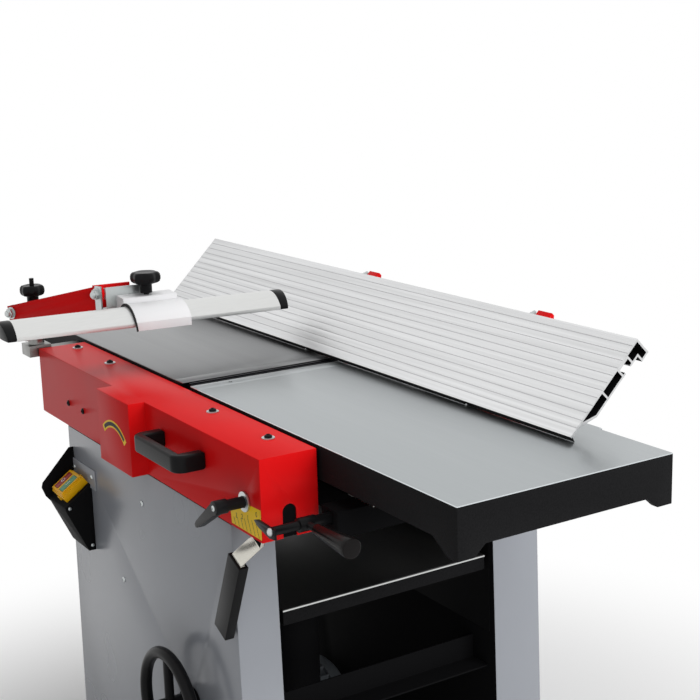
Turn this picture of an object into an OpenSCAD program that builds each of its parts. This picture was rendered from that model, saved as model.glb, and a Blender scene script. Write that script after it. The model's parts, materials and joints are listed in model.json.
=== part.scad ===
// Combination planer thicknesser with tilt-up tables, a tilting fence and a bridge guard.
// Millimetres. The origin is on the floor, below the cutter axis and the middle of the tables.
// +X runs to the infeed end, +Y to the fence at the rear, +Z up.

/* [Tables] */
// Height of the table surface above the floor
table_h = 860; // [840:5:900]
// Width of both tables
table_w = 330; // [322:2:336]
// Length of each table from its lip to its end
table_len = 674; // [620:2:720]
// Opening between the two table lips
mouth = 26; // [25:1:30]
// Thickness of the ground table plates
plate_t = 14; // [12:1:15]
// Depth of the side skirts
skirt_h = 48; // [42:1:52]
// Wall of the skirts and ribs
skirt_t = 12; // [9:1:14]
// Depth of the end rim
rim_h = 52; // [46:1:56]
// Depth of the corner legs
leg_h = 66; // [60:1:72]
// Width of the steel lip strips
lip_w = 28; // [24:1:34]
// Thickness of the steel lip strips
lip_t = 4; // [3:0.5:5]
// Deepest cut of the infeed table
cut_max = 3; // [2:0.5:3]

/* [Cutterblock] */
// Cutting circle of the knives
cutter_d = 72; // [70:1:74]
// Length of the cutterblock
cutter_len = 312; // [290:2:316]
// Diameter of the cutter shaft
shaft_d = 25; // [20:1:28]
// Number of knives
knife_count = 3; // [2:1:4]
// Outside diameter of the shaft bearings
bearing_d = 47; // [44:1:50]
// Diameter of the feed rollers
roller_d = 40; // [36:1:42]

/* [Cabinet] */
// Half width of the side frames at their top
frame_half = 299; // [280:1:320]
// How far the frames spread at the floor on each side
frame_spread = 23; // [0:1:30]
// Depth of the front frame
front_depth = 65; // [60:1:66]
// Depth of the rear frame
rear_depth = 87; // [84:1:92]
// Clear width between the frames
tunnel_w = 370; // [364:1:376]
// Sheet thickness of the frames
sheet_t = 3; // [2:0.5:4]
// Drop from the table surface to the top of the frames
frame_drop = 118; // [114:1:124]
// Distance of the floor bolts along the machine
bolt_x = 700; // [680:2:730]
// Distance of the floor bolts across the machine
bolt_y = 430; // [400:2:440]
// Diameter of the floor bolt holes
bolt_d = 14; // [10:1:16]

/* [Thicknesser] */
// Length of the thicknessing table
bed_len = 590; // [520:2:600]
// Width of the thicknessing table
bed_w = 350; // [330:2:356]
// Drop from the planing tables to the thicknessing table
bed_drop = 260; // [250:1:290]
// Plate thickness of the thicknessing table
bed_t = 24; // [18:1:30]
// Diameter of the lift column
column_d = 90; // [80:1:110]
// Rim diameter of the lift handwheel
wheel_d = 190; // [160:2:220]

/* [Front cover] */
// Left end of the cover
cover_x0 = -408; // [-420:1:-400]
// Right end of the cover
cover_x1 = 392; // [384:1:398]
// Depth of the cover from front to back
cover_w = 84; // [80:1:88]
// Height of the cover
cover_h = 111; // [108:1:113]
// Sheet thickness of the cover
cover_t = 2; // [1.5:0.5:3]
// How far the bearing bump stands out
bump_out = 26; // [20:1:32]

/* [Fence] */
// Length of the fence
fence_len = 1200; // [1000:10:1300]
// Height of the fence along its face
fence_h = 155; // [150:1:165]
// Thickness of the fence body
fence_t = 18; // [17:0.5:20]
// Depth of the fence's top ridge
ridge_t = 29; // [26:1:32]
// Wall of the fence extrusion
fence_wall = 3; // [2:0.5:4]
// Diameter of the fence slide bars
bar_d = 24; // [20:1:26]

/* [Bridge guard] */
// Length of the guard bar between its caps
guard_len = 437; // [400:1:440]
// Width of the guard bar
guard_w = 80; // [72:1:84]
// Height of the guard bar
guard_h = 26; // [22:1:28]
// Height of the guard bar above the tables
guard_z = 72; // [68:1:80]
// Turn of the guard bar from square
guard_yaw = -5.3; // [-8:0.1:-4]
// Length of the saddle that carries the bar
saddle_len = 91; // [80:1:100]
// Diameter of the star knobs
knob_d = 50; // [44:1:54]

/* [Levers] */
// Length of the depth lever from its axis
depth_reach = 108; // [95:1:120]
// Width of the table lock lever
lock_w = 26; // [22:1:30]
// Length of the table lock lever
lock_len = 200; // [170:1:220]
// Length of the clamp lever's arm
clamp_reach = 70; // [60:1:80]

/* [Hidden] */
$fn = 48;

// Clearances
run_gap = 0.05;
part_gap = 0.3;
knife_gap = 1.5;
hair = 0.01;

// Tables
half_w = table_w / 2;
lip_x = mouth / 2;
table_end = lip_x + table_len;
lip_over = 10;
skirt_x = 96;
end_foot = 24;
end_flare = 40;
side_foot = 19;
side_flare = 48;
rib_h = 36;
rib_n = 5;
rib_end = 4;
pad_out = 5;
pad_end = table_end - 132;

// The infeed table slides down inclined ways, away from the cutter
cut_run = cut_max * 5 / 3;
cut_slope = cut_max / cut_run;
way_len = 60;
way_w = 40;
way_x = [170, 432];
way_y = 110;
way_z = -44;

// Cutter and rollers
cutter_r = cutter_d / 2;
cutter_z = -cutter_r;
knife_w = 12;
knife_t = 3;
knife_out = 1;
body_r = cutter_r - knife_out;
gullet_r = 9;
slot_back = 6;
knife_tip = sqrt(pow(cutter_r, 2) - pow(knife_t + slot_back, 2)) - hair;
housing_r = bearing_d / 2 + 4.5;
bearing_w = 12;
roller_x = 62;
roller_z = cutter_z - 17;
roller_shaft_d = 20;
block_half = 24;

// Cabinet
front_in = -tunnel_w / 2;
front_out = front_in - front_depth;
rear_in = tunnel_w / 2;
rear_out = rear_in + rear_depth;
frame_top = table_h - frame_drop;
plinth_h = 50;
plinth_t = 4;
foot_len = 60;
housing_w = 45;
housing_half = 40;
front_house = front_in - 10;
rear_house = rear_in + 10;

// Drive
pulley_r = 26;
motor_pulley_r = 46;
belt_t = 5;
belt_w = 16;
pulley_w = belt_w + 4;
belt_y = rear_house + housing_w + 2 + pulley_w / 2;
motor_x = -170;
motor_z = 170;
motor_r = 82;
motor_len = 230;
motor_shaft_r = 12;
belt_dx = motor_x;
belt_dz = table_h + cutter_z - motor_z;

// Hinge of the tilt-up tables
hinge_x = 190;
hinge_y = 225;
hinge_z = -60;
hinge_r = 22;
pin_r = 10;
ear_t = 10;
beam_w = 50;

// Carriers under the tables
carrier_top = -72;
carrier_bot = -108;
beam_front = -215;
outer_x = way_x[1];
outer_w = 40;
shaft_r = 8;
rail_leg = -172;
rail_t = 6;

// Front cover
cover_top = -4;
cover_back = -half_w - 4;
cover_front = cover_back - cover_w;
bump_x0 = -80;
bump_x1 = 41;
slot_y = cover_back - 43;
slot_w = 20;
slot_top = -70;

// Fence: u runs up the face, w to the back; fence_y and fence_z place u = 0, w = lip_back
lip_back = 5.5;
fence_tilt = 45;
fence_y = 93.2;
fence_z = 7.6;
fence_x0 = -614;
pin_u = 4;
pin_w = 10.2;
tilt_y = fence_y + (pin_u + pin_w - lip_back) * cos(fence_tilt);
tilt_z = fence_z + (pin_u - pin_w + lip_back) * sin(fence_tilt);
tilt_pin_r = 3;
knuckle_r = 4.6;
arm_x = [-84, 362];
arm_w = 16;
ear_w = 6;
rib_u = 70;
tslot_u = 117;
tslot_neck = 12;
tslot_in = 19;
bracket_top = fence_h + 23;
ridge_u = fence_h - 16;
heel_u = 42;
bracket_w = 60;
groove_n = 12;
groove_w = 1;
groove_d = 0.6;
rail_x = [148, 298];
bar_z = 8;
post_edge = 6;
post_top = bar_z + bar_d / 2 + post_edge;
post_w = 18;
bar_y0 = hinge_y - hinge_r - post_w - 1;
bar_len = 246;
carriage_y = 225;
carriage_len = 60;
cross_z = 16;

// Guard: its local frame starts at the near lower edge of the bar's outer end
guard_rim = 6;
guard_wall = 3;
guard_arc = (pow(guard_w / 2, 2) + pow(guard_h - guard_rim, 2)) / (2 * (guard_h - guard_rim));
saddle_y = 188;
saddle_t = 3.6;
saddle_gap = 0.4;
shelf_w = 38;
shelf_z = guard_h + 10;
shelf_low = 8;
stud_show = 3;
shelf_x = -guard_w / 2 - 20;
stud_x = shelf_x - 20;
stud_r = 4;
knob_h = 18;
neck_h = 16;
neck_r = 10;
cap_len = 18;
arm_at = [-428, -286.7, 61];
arm_yaw = 22.9;
arm_len = 219.4;
pivot_up = 40;
arm_pitch = asin((guard_z + pivot_up - arm_at[2]) / arm_len);
arm_run = arm_len * cos(arm_pitch);
arm_t = 5;
arm_up = 13;
arm_down = 30;
arm_nose = 9;
arm_heel = 8;
arm_tail = 62;
arm_pin_r = 5;
angle_t = 3;
angle_x = shelf_x - shelf_w;
angle_y = 171.2;
angle_len = 70.3;
flange_x = [-5, 8.4];
flange_low = 26;
back_x = [-5, 11.4];
back_z = 9;
pivot_in = [angle_x - 8.7, angle_y - 8];
angle_h = 40;
angle_z = 10;
lift_at = [-436, -247];
lift_d = 43;
lift_z = 69.5;
nut_w = 40;
nut_h = 20;
post_low = 49;
post_t = 6;

// Levers
depth_z = (carrier_top + carrier_bot) / 2 + 5;
depth_front = cover_front - 6;
clamp_x = 350;
clamp_z = -70;
lock_x = 368;
lock_z = -88;
lock_y = cover_front + 15;
lock_lean = 24;
lock_t = 6;
lock_back = lock_y + lock_t / 2 + part_gap;
lock_step = 24;
lock_drop = 42;

// Switch
switch_x0 = -283;
tab_x = [-292, -186];
tab_h = 26;
box_x = -241.5;
switch_x1 = -208;
switch_top = -196;
switch_out = 48;
switch_fall = 34;
switch_low = -312;
switch_slope = atan2(switch_fall, switch_out);

module at_top() {
    translate([0, 0, table_h]) children();
}

// Block between two limits on each axis
module span(x, y, z) {
    translate([x[0], y[0], z[0]]) cube([x[1] - x[0], y[1] - y[0], z[1] - z[0]]);
}

// Outline drawn in Y and Z, thickened along X from x
module slab_yz(x, t) {
    translate([x, 0, 0]) rotate([90, 0, 90]) linear_extrude(t) children();
}

// Outline drawn in X and Z, thickened along Y from y
module slab_xz(y, t) {
    translate([0, y + t, 0]) rotate([90, 0, 0]) linear_extrude(t) children();
}

// Round bar along Y
module rod_y(r, y0, y1) {
    translate([0, y0, 0]) rotate([-90, 0, 0]) cylinder(r = r, h = y1 - y0);
}

// Round bar along X
module rod_x(r, x0, x1) {
    translate([x0, 0, 0]) rotate([0, 90, 0]) cylinder(r = r, h = x1 - x0);
}

module both_sides() {
    children();
    mirror([1, 0, 0]) children();
}

// Cutter axis at the table surface's height
module at_cutter() {
    translate([0, 0, table_h + cutter_z]) children();
}

// Star knob standing on z = 0 with its stud reaching down
module star_knob(d, stud_down, stud_up) {
    lobe_r = d * 0.16;
    ring = d / 2 - lobe_r;
    cylinder(r = neck_r, h = neck_h + hair);
    translate([0, 0, neck_h]) {
        cylinder(r = ring, h = knob_h);
        for (k = [0:5]) rotate([0, 0, 60 * k]) translate([ring, 0, 0]) cylinder(r = lobe_r, h = knob_h);
    }
    translate([0, 0, -stud_down]) cylinder(r = stud_r, h = stud_down + neck_h + knob_h + stud_up);
}

// Table casting for the infeed side: plate, skirts, end rim with corner legs, ribs and four feet
module table_casting(inclined) {
    skirt_out = [[skirt_x, 0], [table_end, 0], [table_end, -leg_h], [table_end - side_foot, -leg_h],
        [table_end - side_flare, -skirt_h], [skirt_x, -skirt_h]];
    end_out = [[-half_w, 0], [half_w, 0], [half_w, -leg_h], [half_w - end_foot, -leg_h],
        [half_w - end_flare, -rim_h], [end_flare - half_w, -rim_h], [end_foot - half_w, -leg_h],
        [-half_w, -leg_h]];
    rise = inclined ? cut_slope * way_len / 2 : 0;
    foot_z = inclined ? way_z : carrier_top;
    difference() {
        union() {
            span([lip_x + lip_over, table_end], [-half_w, half_w], [-plate_t, 0]);
            span([skirt_x, pad_end], [half_w - hair, half_w + pad_out], [-plate_t, 0]);
            slab_xz(-half_w, skirt_t) polygon(skirt_out);
            slab_xz(half_w - skirt_t, skirt_t) polygon(skirt_out);
            slab_yz(table_end - skirt_t, skirt_t) polygon(end_out);
            for (k = [0:rib_n]) {
                x = skirt_x + k * (table_end - skirt_x - skirt_t - rib_end) / (rib_n + 1);
                span([x, x + skirt_t], [-half_w, half_w], [-rib_h, -plate_t + hair]);
            }
            span([skirt_x, table_end], [-skirt_t / 2, skirt_t / 2], [-rib_h, -plate_t + hair]);
            for (x = way_x, y = [-way_y, way_y])
                slab_xz(y - way_w / 2, way_w) polygon([[x - way_len / 2, -plate_t / 2],
                    [x + way_len / 2, -plate_t / 2], [x + way_len / 2, foot_z - rise],
                    [x - way_len / 2, foot_z + rise]]);
        }
        span([0, lip_x + lip_w], [-half_w - 1, half_w + 1], [-lip_t, 1]);
        translate([0, 0, cutter_z]) rod_y(cutter_r + knife_gap, -half_w - 1, half_w + 1);
    }
}

module lip_strip() {
    difference() {
        span([lip_x, lip_x + lip_w], [-half_w, half_w], [-lip_t, 0]);
        translate([0, 0, cutter_z]) rod_y(cutter_r + knife_gap, -half_w - 1, half_w + 1);
    }
}

// Carrier frame for the infeed side, hinged at the rear
module carrier() {
    difference() {
        union() {
            span([hinge_x - beam_w / 2, hinge_x + beam_w / 2], [beam_front, hinge_y - 10],
                [carrier_bot, carrier_top]);
            span([outer_x - outer_w / 2, outer_x + outer_w / 2], [-half_w - 12, way_y + way_w / 2],
                [carrier_bot, carrier_top]);
            for (y = [-way_y, way_y])
                span([way_x[0] - way_len / 2 - 4, outer_x + outer_w / 2], [y - way_w / 2, y + way_w / 2],
                    [carrier_bot, carrier_top]);
            translate([0, hinge_y, hinge_z]) rod_x(hinge_r, hinge_x - beam_w / 2, hinge_x + beam_w / 2);
        }
        translate([0, hinge_y, hinge_z]) rod_x(pin_r + run_gap, 0, 2 * hinge_x);
    }
}

// Sheet steel frame box, open at the floor, between two depths
module frame_box(y0, y1) {
    w = frame_half + frame_spread;
    inner = sheet_t;
    difference() {
        slab_xz(y0, y1 - y0) polygon([[-w, plinth_t], [w, plinth_t], [frame_half, frame_top],
            [-frame_half, frame_top]]);
        slab_xz(y0 + inner, y1 - y0 - 2 * inner) polygon([[-w + inner, plinth_t - 1], [w - inner, plinth_t - 1],
            [frame_half - inner, frame_top - inner], [inner - frame_half, frame_top - inner]]);
    }
}

module plinth() {
    x = frame_half + frame_spread;
    foot_x = bolt_x / 2 + foot_len / 2;
    color("dimgray") difference() {
        union() {
            span([-x, x], [front_out, rear_out], [0, plinth_t]);
            for (y = [-bolt_y / 2, bolt_y / 2])
                span([-foot_x, foot_x], [y - foot_len / 2, y + foot_len / 2], [0, plinth_t]);
        }
        for (sx = [-1, 1], sy = [-1, 1])
            translate([sx * bolt_x / 2, sy * bolt_y / 2, -1]) cylinder(d = bolt_d, h = plinth_t + 2);
    }
}

module front_frame() {
    color("lightgray") difference() {
        frame_box(front_out, front_in);
        translate([wheel_x, 0, wheel_z]) rod_y(wheel_shaft_r + 2, front_out - 1, front_in + 1);
    }
}

module rear_frame() {
    slot_x = pulley_r + belt_t + 8;
    color("lightgray") difference() {
        frame_box(rear_in, rear_out);
        span([-slot_x - 34, slot_x], [belt_y - belt_w / 2 - 5, belt_y + belt_w / 2 + 5],
            [frame_top - sheet_t - 1, frame_top + 1]);
        translate([motor_x, 0, motor_z]) rod_y(motor_shaft_r + 4, rear_in - 1, rear_in + sheet_t + 1);
    }
}

// Angle-section stretchers that tie the two frames together
member_leg = 40;
member_drop = 330;
member_z = [plinth_h + member_leg, frame_top - member_drop];
member_x = frame_half - member_leg - 9;
module cross_members() {
    color("dimgray") both_sides() for (z = member_z) {
        span([member_x, member_x + member_leg], [front_in, rear_in], [z, z + sheet_t]);
        span([member_x, member_x + sheet_t], [front_in, rear_in], [z, z + member_leg]);
    }
}

// Black chip shield on the rear frame's inner face
liner_t = 1.5;
module tunnel_liner() {
    x = frame_half - 4;
    color("black") difference() {
        span([-x, x], [rear_in - liner_t, rear_in], [member_z[1] + 60, frame_top - 2]);
        translate([motor_x, 0, motor_z]) rod_y(motor_shaft_r + 4, rear_in - 3, rear_in + 1);
    }
}

// Round-topped pedestals that carry the cutter shaft
module housing(y0) {
    difference() {
        union() {
            span([-housing_half, housing_half], [y0, y0 + housing_w], [frame_top, table_h + cutter_z - 12]);
            at_cutter() rod_y(housing_r, y0, y0 + housing_w);
        }
        at_cutter() rod_y(bearing_d / 2, y0 + 8, y0 + 8 + bearing_w);
        at_cutter() rod_y(shaft_d / 2 + 1, y0 - 1, y0 + housing_w + 1);
    }
}

module bearing_housings() {
    color("dimgray") {
        housing(front_house - housing_w);
        housing(rear_house);
    }
}

module cutter_bearings() {
    color("silver") for (y = [front_house - housing_w, rear_house]) at_cutter() difference() {
        rod_y(bearing_d / 2 - hair, y + 8 + hair, y + 8 + bearing_w - hair);
        rod_y(shaft_d / 2 + run_gap, y, y + housing_w);
    }
}

// Blocks on the frame tops for the roller shafts
module roller_blocks() {
    top = table_h + roller_z + 16;
    color("gray") both_sides() for (y = [front_in - 24, rear_in + 2]) difference() {
        span([roller_x - 16, roller_x + block_half], [y, y + 22], [frame_top, top]);
        translate([roller_x, 0, table_h + roller_z]) rod_y(roller_shaft_d / 2 + run_gap, y - 1, y + 23);
    }
}

rod_x_at = -112;
rod_z = -62;
rod_r = 8;
module kickback_rod() {
    color("silver") translate([rod_x_at, 0, table_h + rod_z]) rod_y(rod_r, front_in - 20, rear_in + 20);
    color("gray") for (y = [front_in - 20, rear_in + 8]) difference() {
        span([rod_x_at - 14, rod_x_at + 14], [y, y + 12], [frame_top, table_h + rod_z + 14]);
        translate([rod_x_at, 0, table_h + rod_z]) rod_y(rod_r, y - 1, y + 13);
    }
}

finger_n = 22;
finger_w = 9;
module kickback_fingers() {
    pitch = (cutter_len - finger_w) / (finger_n - 1);
    color("dimgray") translate([rod_x_at, 0, table_h + rod_z]) {
        difference() {
            union() {
                rod_y(rod_r + 5, -cutter_len / 2, cutter_len / 2);
                for (k = [0:finger_n - 1])
                    slab_xz(-cutter_len / 2 + k * pitch, finger_w)
                        polygon([[-10, 0], [10, 0], [16, -34], [8, -30], [-8, -8]]);
            }
            rod_y(rod_r + run_gap, -cutter_len, cutter_len);
        }
    }
}

// Two ears on the rear frame for each table hinge
module hinge_brackets() {
    inner = beam_w / 2 + part_gap;
    color("dimgray") at_top() both_sides() for (s = [-1, 1]) {
        x = hinge_x + s * (inner + ear_t / 2) - ear_t / 2;
        difference() {
            union() {
                span([x, x + ear_t], [hinge_y - hinge_r, hinge_y + hinge_r], [-frame_drop, hinge_z]);
                translate([0, hinge_y, hinge_z]) rod_x(hinge_r, x, x + ear_t);
            }
            translate([0, hinge_y, hinge_z]) rod_x(pin_r, x - 1, x + ear_t + 1);
        }
    }
}

module hinge_pins() {
    reach = beam_w / 2 + part_gap + ear_t + 4;
    color("silver") at_top() both_sides()
        translate([0, hinge_y, hinge_z]) rod_x(pin_r - hair, hinge_x - reach, hinge_x + reach);
}

// Adjustable stops that the carriers rest on
module rest_pads() {
    color("silver") at_top() both_sides() for (y = [beam_front + 14])
        translate([hinge_x, y, -frame_drop]) {
            cylinder(r = 15, h = 4);
            cylinder(r = 8, h = frame_drop + carrier_bot - part_gap);
        }
}

// Lift column: fixed tube on the floor plate, sliding tube and screw on the table
bed_z = table_h - bed_drop;
bed_down = 46;
column_gap = 6;
column_h = bed_z - bed_t - bed_down - column_gap - plinth_t;
tube_len = 290;
wall = 8;
module column_base() {
    color("dimgray") translate([0, 0, plinth_t]) difference() {
        union() {
            cylinder(d = column_d + 70, h = 14);
            cylinder(d = column_d, h = column_h);
        }
        translate([0, 0, 14]) cylinder(d = column_d - 2 * wall, h = column_h);
    }
}

module lift_column() {
    slide_r = column_d / 2 - wall - run_gap;
    color("silver") translate([0, 0, bed_z - bed_t - tube_len]) difference() {
        cylinder(r = slide_r, h = tube_len);
        translate([0, 0, -1]) cylinder(r = slide_r - wall, h = tube_len - 3 * wall);
    }
}

// Ribbed cast table that lifts below the cutter
module thickness_table() {
    x = bed_len / 2;
    y = bed_w / 2;
    color("silver") translate([0, 0, bed_z]) difference() {
        union() {
            span([-x, x], [-y, y], [-bed_t, 0]);
        }
        for (i = [-2:2], j = [-1:1]) {
            px = bed_len / 5;
            py = bed_w / 3;
            if (i != 0 || j != 0)
                span([i * px - px / 2 + 6, i * px + px / 2 - 6], [j * py - py / 2 + 6, j * py + py / 2 - 6],
                    [-bed_t - 1, -bed_t / 2]);
        }
    }
}

// Motor with a finned body, feet and a shaft into the rear frame
fin_n = 24;
foot_x = 60;
foot_half = 14;
foot_in = 40;
foot_edge = 10;
mount_t = 6;
mount_top = plinth_t + 76;
module motor() {
    y1 = rear_in - 14;
    color("dimgray") translate([motor_x, 0, motor_z]) {
        rod_y(motor_r - 8, y1 - motor_len, y1);
        rod_y(motor_r, y1 - 26, y1 - 8);
        rod_y(motor_r, y1 - motor_len + 4, y1 - motor_len + 40);
        for (k = [0:fin_n - 1]) rotate([0, 360 * k / fin_n, 0])
            span([motor_r - 10, motor_r - 1], [y1 - motor_len + 30, y1 - 20], [-1.5, 1.5]);
        rod_y(motor_shaft_r, y1 - hair, belt_y + belt_w / 2 + 2);
        for (s = [-1, 1]) span([s * foot_x - foot_half, s * foot_x + foot_half],
            [y1 - motor_len + foot_in + foot_edge, y1 - foot_in - 2 * foot_edge],
            [mount_top - motor_z, 20 - foot_x]);
    }
}

module motor_mount() {
    y1 = rear_in - 14;
    y = [y1 - motor_len + foot_in, y1 - foot_in - foot_edge];
    leg_x = foot_x + foot_half;
    color("gray") translate([motor_x, 0, 0]) {
        span([-leg_x - mount_t, leg_x + mount_t], y, [mount_top - mount_t, mount_top]);
        for (s = [-1, 1])
            span([s * leg_x - mount_t, s * leg_x + mount_t], y, [plinth_t, mount_top - mount_t + 1]);
    }
}

// Loop round both pulleys: an arc over each one, joined by the two straight runs
arc_n = 48;
module belt_loop(grow, half) {
    r1 = pulley_r + grow;
    r2 = motor_pulley_r + grow;
    d = norm([belt_dx, belt_dz]);
    s = asin((r2 - r1) / d);
    over = [for (k = [0:arc_n]) let (a = s + (180 - 2 * s) * k / arc_n) [r1 * cos(a), r1 * sin(a)]];
    under = [for (k = [0:arc_n]) let (a = 180 - s + (180 + 2 * s) * k / arc_n) [r2 * cos(a), r2 * sin(a) - d]];
    rotate([0, -atan2(belt_dx, belt_dz), 0]) slab_xz(belt_y - half, 2 * half) polygon(concat(over, under));
}

module drive_belt() {
    color("black") at_cutter() difference() {
        belt_loop(belt_t, belt_w / 2);
        belt_loop(part_gap, belt_w / 2 + 1);
    }
}

module pulley(r, y) {
    difference() {
        union() {
            rod_y(r, y - pulley_w / 2, y + pulley_w / 2);
        }
        children();
    }
}

module cutter_pulley() {
    color("silver") at_cutter() pulley(pulley_r, belt_y) rod_y(shaft_d / 2, 0, 2 * belt_y);
}

module motor_pulley() {
    color("silver") translate([motor_x, 0, motor_z])
        pulley(motor_pulley_r, belt_y) rod_y(motor_shaft_r + run_gap, 0, 2 * belt_y);
}

// Hood over the top pulley
hood_t = 2;
hood_gap = 2;
hood_side = 30;
module belt_cover() {
    r = pulley_r + belt_t + hood_gap;
    y0 = belt_y - pulley_w / 2 - hood_gap;
    y1 = belt_y + pulley_w / 2 + hood_gap;
    color("dimgray") difference() {
        union() {
            at_cutter() rod_y(r + hood_t, y0, y1 + hood_t);
            span([-r - hood_t - hood_side, r + hood_t], [y0, y1 + hood_t], [frame_top, table_h + cutter_z]);
        }
        at_cutter() rod_y(r, y0 - 1, y1);
        span([-r - hood_side, r], [y0 - 1, y1], [frame_top - 1, table_h + cutter_z]);
    }
}

// Handwheel that lifts the thicknessing table
wheel_x = frame_half / 2;
wheel_z = 420;
wheel_shaft_r = 9;
module wheel_boss() {
    color("dimgray") translate([wheel_x, 0, wheel_z]) difference() {
        union() {
            rod_y(26, front_out - 12, front_out);
            rod_y(wheel_shaft_r + 1.8, front_out - hair, front_in + 8);
        }
        rod_y(wheel_shaft_r + run_gap, front_out - 20, front_in + 20);
    }
}

module handwheel() {
    y0 = front_out - 12 - part_gap;
    rim_r = 9;
    color("black") translate([wheel_x, 0, wheel_z]) {
        translate([0, y0 - 26, 0]) rotate([90, 0, 0]) rotate_extrude() translate([wheel_d / 2 - rim_r, 0])
            circle(r = rim_r);
        rod_y(20, y0 - 40, y0);
        for (k = [0:2]) rotate([0, 120 * k + 30, 0]) translate([0, y0 - 26, 0])
            rotate([0, 90, 0]) cylinder(r = 7, h = wheel_d / 2 - rim_r);
        rod_y(wheel_shaft_r, y0 - 1, front_in + 40);
    }
}

module wheel_grip() {
    y0 = front_out - 12 - part_gap - 26 - 9;
    color("dimgray") translate([wheel_x + wheel_d / 2 - 9, 0, wheel_z]) {
        rod_y(6, y0 - 6, y0);
        translate([0, y0 - 6, 0]) rotate([90, 0, 0]) cylinder(r1 = 10, r2 = 13, h = 50);
        translate([0, y0 - 56, 0]) rotate([90, 0, 0]) cylinder(r1 = 13, r2 = 9, h = 8);
    }
}

// Switch on a wedge-shaped bracket
module on_switch_plate() {
    translate([box_x, front_out, table_h + switch_top]) rotate([switch_slope, 0, 0])
        children();
}

module switch_bracket() {
    t = 2;
    skin = t / cos(switch_slope);
    k = switch_fall / switch_out;
    y1 = front_out;
    y0 = front_out - switch_out;
    z1 = table_h + switch_top;
    z0 = z1 - switch_fall;
    low = table_h + switch_low;
    toe = 12;
    nose = 8;
    wedge = [[y1, z1], [y0, z0], [y0 + t, z0 - nose], [y1 - toe, low], [y1, low]];
    hollow = [[y1 + 1, z1 + k - skin], [y0 + t, z0 + k * t - skin], [y0 + 2 * t, z0 - nose],
        [y1 - toe + t, low + t], [y1 + 1, low + t]];
    shield = [[y1, z1 + 45], [y1 - nose, z1 + 45], [y0 - 10, z0 + 26], [y0 - toe, z0 + 18], [y0 - 6, z0 + t],
        [y0 + t, z0 - nose], [y1, z1 - 60]];
    color("black") difference() {
        union() {
            slab_yz(switch_x0, switch_x1 - switch_x0) polygon(wedge);
            slab_yz(switch_x0, t) polygon(shield);
            span(tab_x, [y1 - t, y1], [z1 - nose, z1 + tab_h]);
        }
        slab_yz(switch_x0 + t, switch_x1 - switch_x0 - 2 * t) polygon(hollow);
    }
}

box_w = 54;
box_d = 52;
box_h = 24;
pad_w = 20;
pad_l = 40;
pad_gap = 4;
press = 3;
module switch_box() {
    y = -box_d - 4;
    color("gold") on_switch_plate() difference() {
        union() {
            span([-box_w / 2, box_w / 2], [y, y + box_d], [0, box_h - 4]);
            span([-box_w / 2 + 2, box_w / 2 - 2], [y + 2, y + box_d - 2], [0, box_h]);
        }
        for (s = [-1, 1]) translate([s * (pad_w + pad_gap) / 2, y + box_d / 2, 0])
            span([-pad_w / 2, pad_w / 2], [-pad_l / 2, pad_l / 2], [box_h - 12, box_h + 1]);
    }
}

module push_pad(s) {
    y = -box_d - 4;
    on_switch_plate() translate([s * (pad_w + pad_gap) / 2, y + box_d / 2, 0])
        span([-pad_w / 2 + part_gap, pad_w / 2 - part_gap], [-pad_l / 2 + part_gap, pad_l / 2 - part_gap],
            [box_h - 12 + press + part_gap, box_h + 1.5 + press]);
}

module stop_button() {
    color("firebrick") push_pad(-1);
}

module start_button() {
    color("seagreen") push_pad(1);
}

// Three-knife cutterblock with round chip gullets
module cutterblock() {
    color("dimgray") at_cutter() {
        difference() {
            rod_y(body_r, -cutter_len / 2, cutter_len / 2);
            for (k = [0:knife_count - 1]) rotate([0, 360 * k / knife_count, 0]) {
                translate([9, 0, body_r - 1]) rod_y(gullet_r, -cutter_len, cutter_len);
                span([-knife_t - slot_back, knife_t], [-cutter_len, cutter_len], [body_r - knife_w, body_r + 1]);
            }
        }
        rod_y(shaft_d / 2, front_house - housing_w - 1, -cutter_len / 2 + 1);
        rod_y(shaft_d / 2, cutter_len / 2 - 1, belt_y + belt_w / 2 + 2 - hair);
    }
}

module planer_knives() {
    color("silver") at_cutter() for (k = [0:knife_count - 1]) rotate([0, 360 * k / knife_count, 0])
        span([-knife_t - slot_back, -slot_back], [-cutter_len / 2, cutter_len / 2], [body_r - knife_w, knife_tip]);
    color("gray") at_cutter() for (k = [0:knife_count - 1]) rotate([0, 360 * k / knife_count, 0])
        span([-slot_back + hair, -1], [-cutter_len / 2, cutter_len / 2], [body_r - knife_w, body_r - 2]);
}

// Serrated and plain feed rollers
module roller(x, cuts) {
    translate([x, 0, table_h + roller_z]) {
        difference() {
            rod_y(roller_d / 2, front_in + 12, rear_in - 12);
            if (cuts > 0) for (k = [0:cuts - 1]) rotate([0, 360 * k / cuts, 0])
                translate([roller_d / 2, 0, 0]) rotate([0, 45, 0])
                    span([-1.2, 1.2], [-tunnel_w, tunnel_w], [-1.2, 1.2]);
        }
        rod_y(roller_shaft_d / 2, front_in - 24, front_in + 13);
        rod_y(roller_shaft_d / 2, rear_in - 13, rear_in + 24);
    }
}

module infeed_roller() {
    color("dimgray") roller(-roller_x, 30);
}

module outfeed_roller() {
    color("silver") roller(roller_x, 0);
}

module outfeed_table() {
    color("silver") at_top() mirror([1, 0, 0]) table_casting(false);
}

module infeed_table() {
    color("silver") at_top() table_casting(true);
}

module outfeed_lip() {
    color("gainsboro") at_top() mirror([1, 0, 0]) lip_strip();
}

module infeed_lip() {
    color("gainsboro") at_top() lip_strip();
}

module outfeed_carrier() {
    color("dimgray") at_top() mirror([1, 0, 0]) carrier();
}

module infeed_carrier() {
    color("dimgray") at_top() difference() {
        carrier();
        translate([outer_x, 0, depth_z]) rod_y(shaft_r + run_gap, -half_w - 20, -half_w + 30);
    }
}

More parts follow.
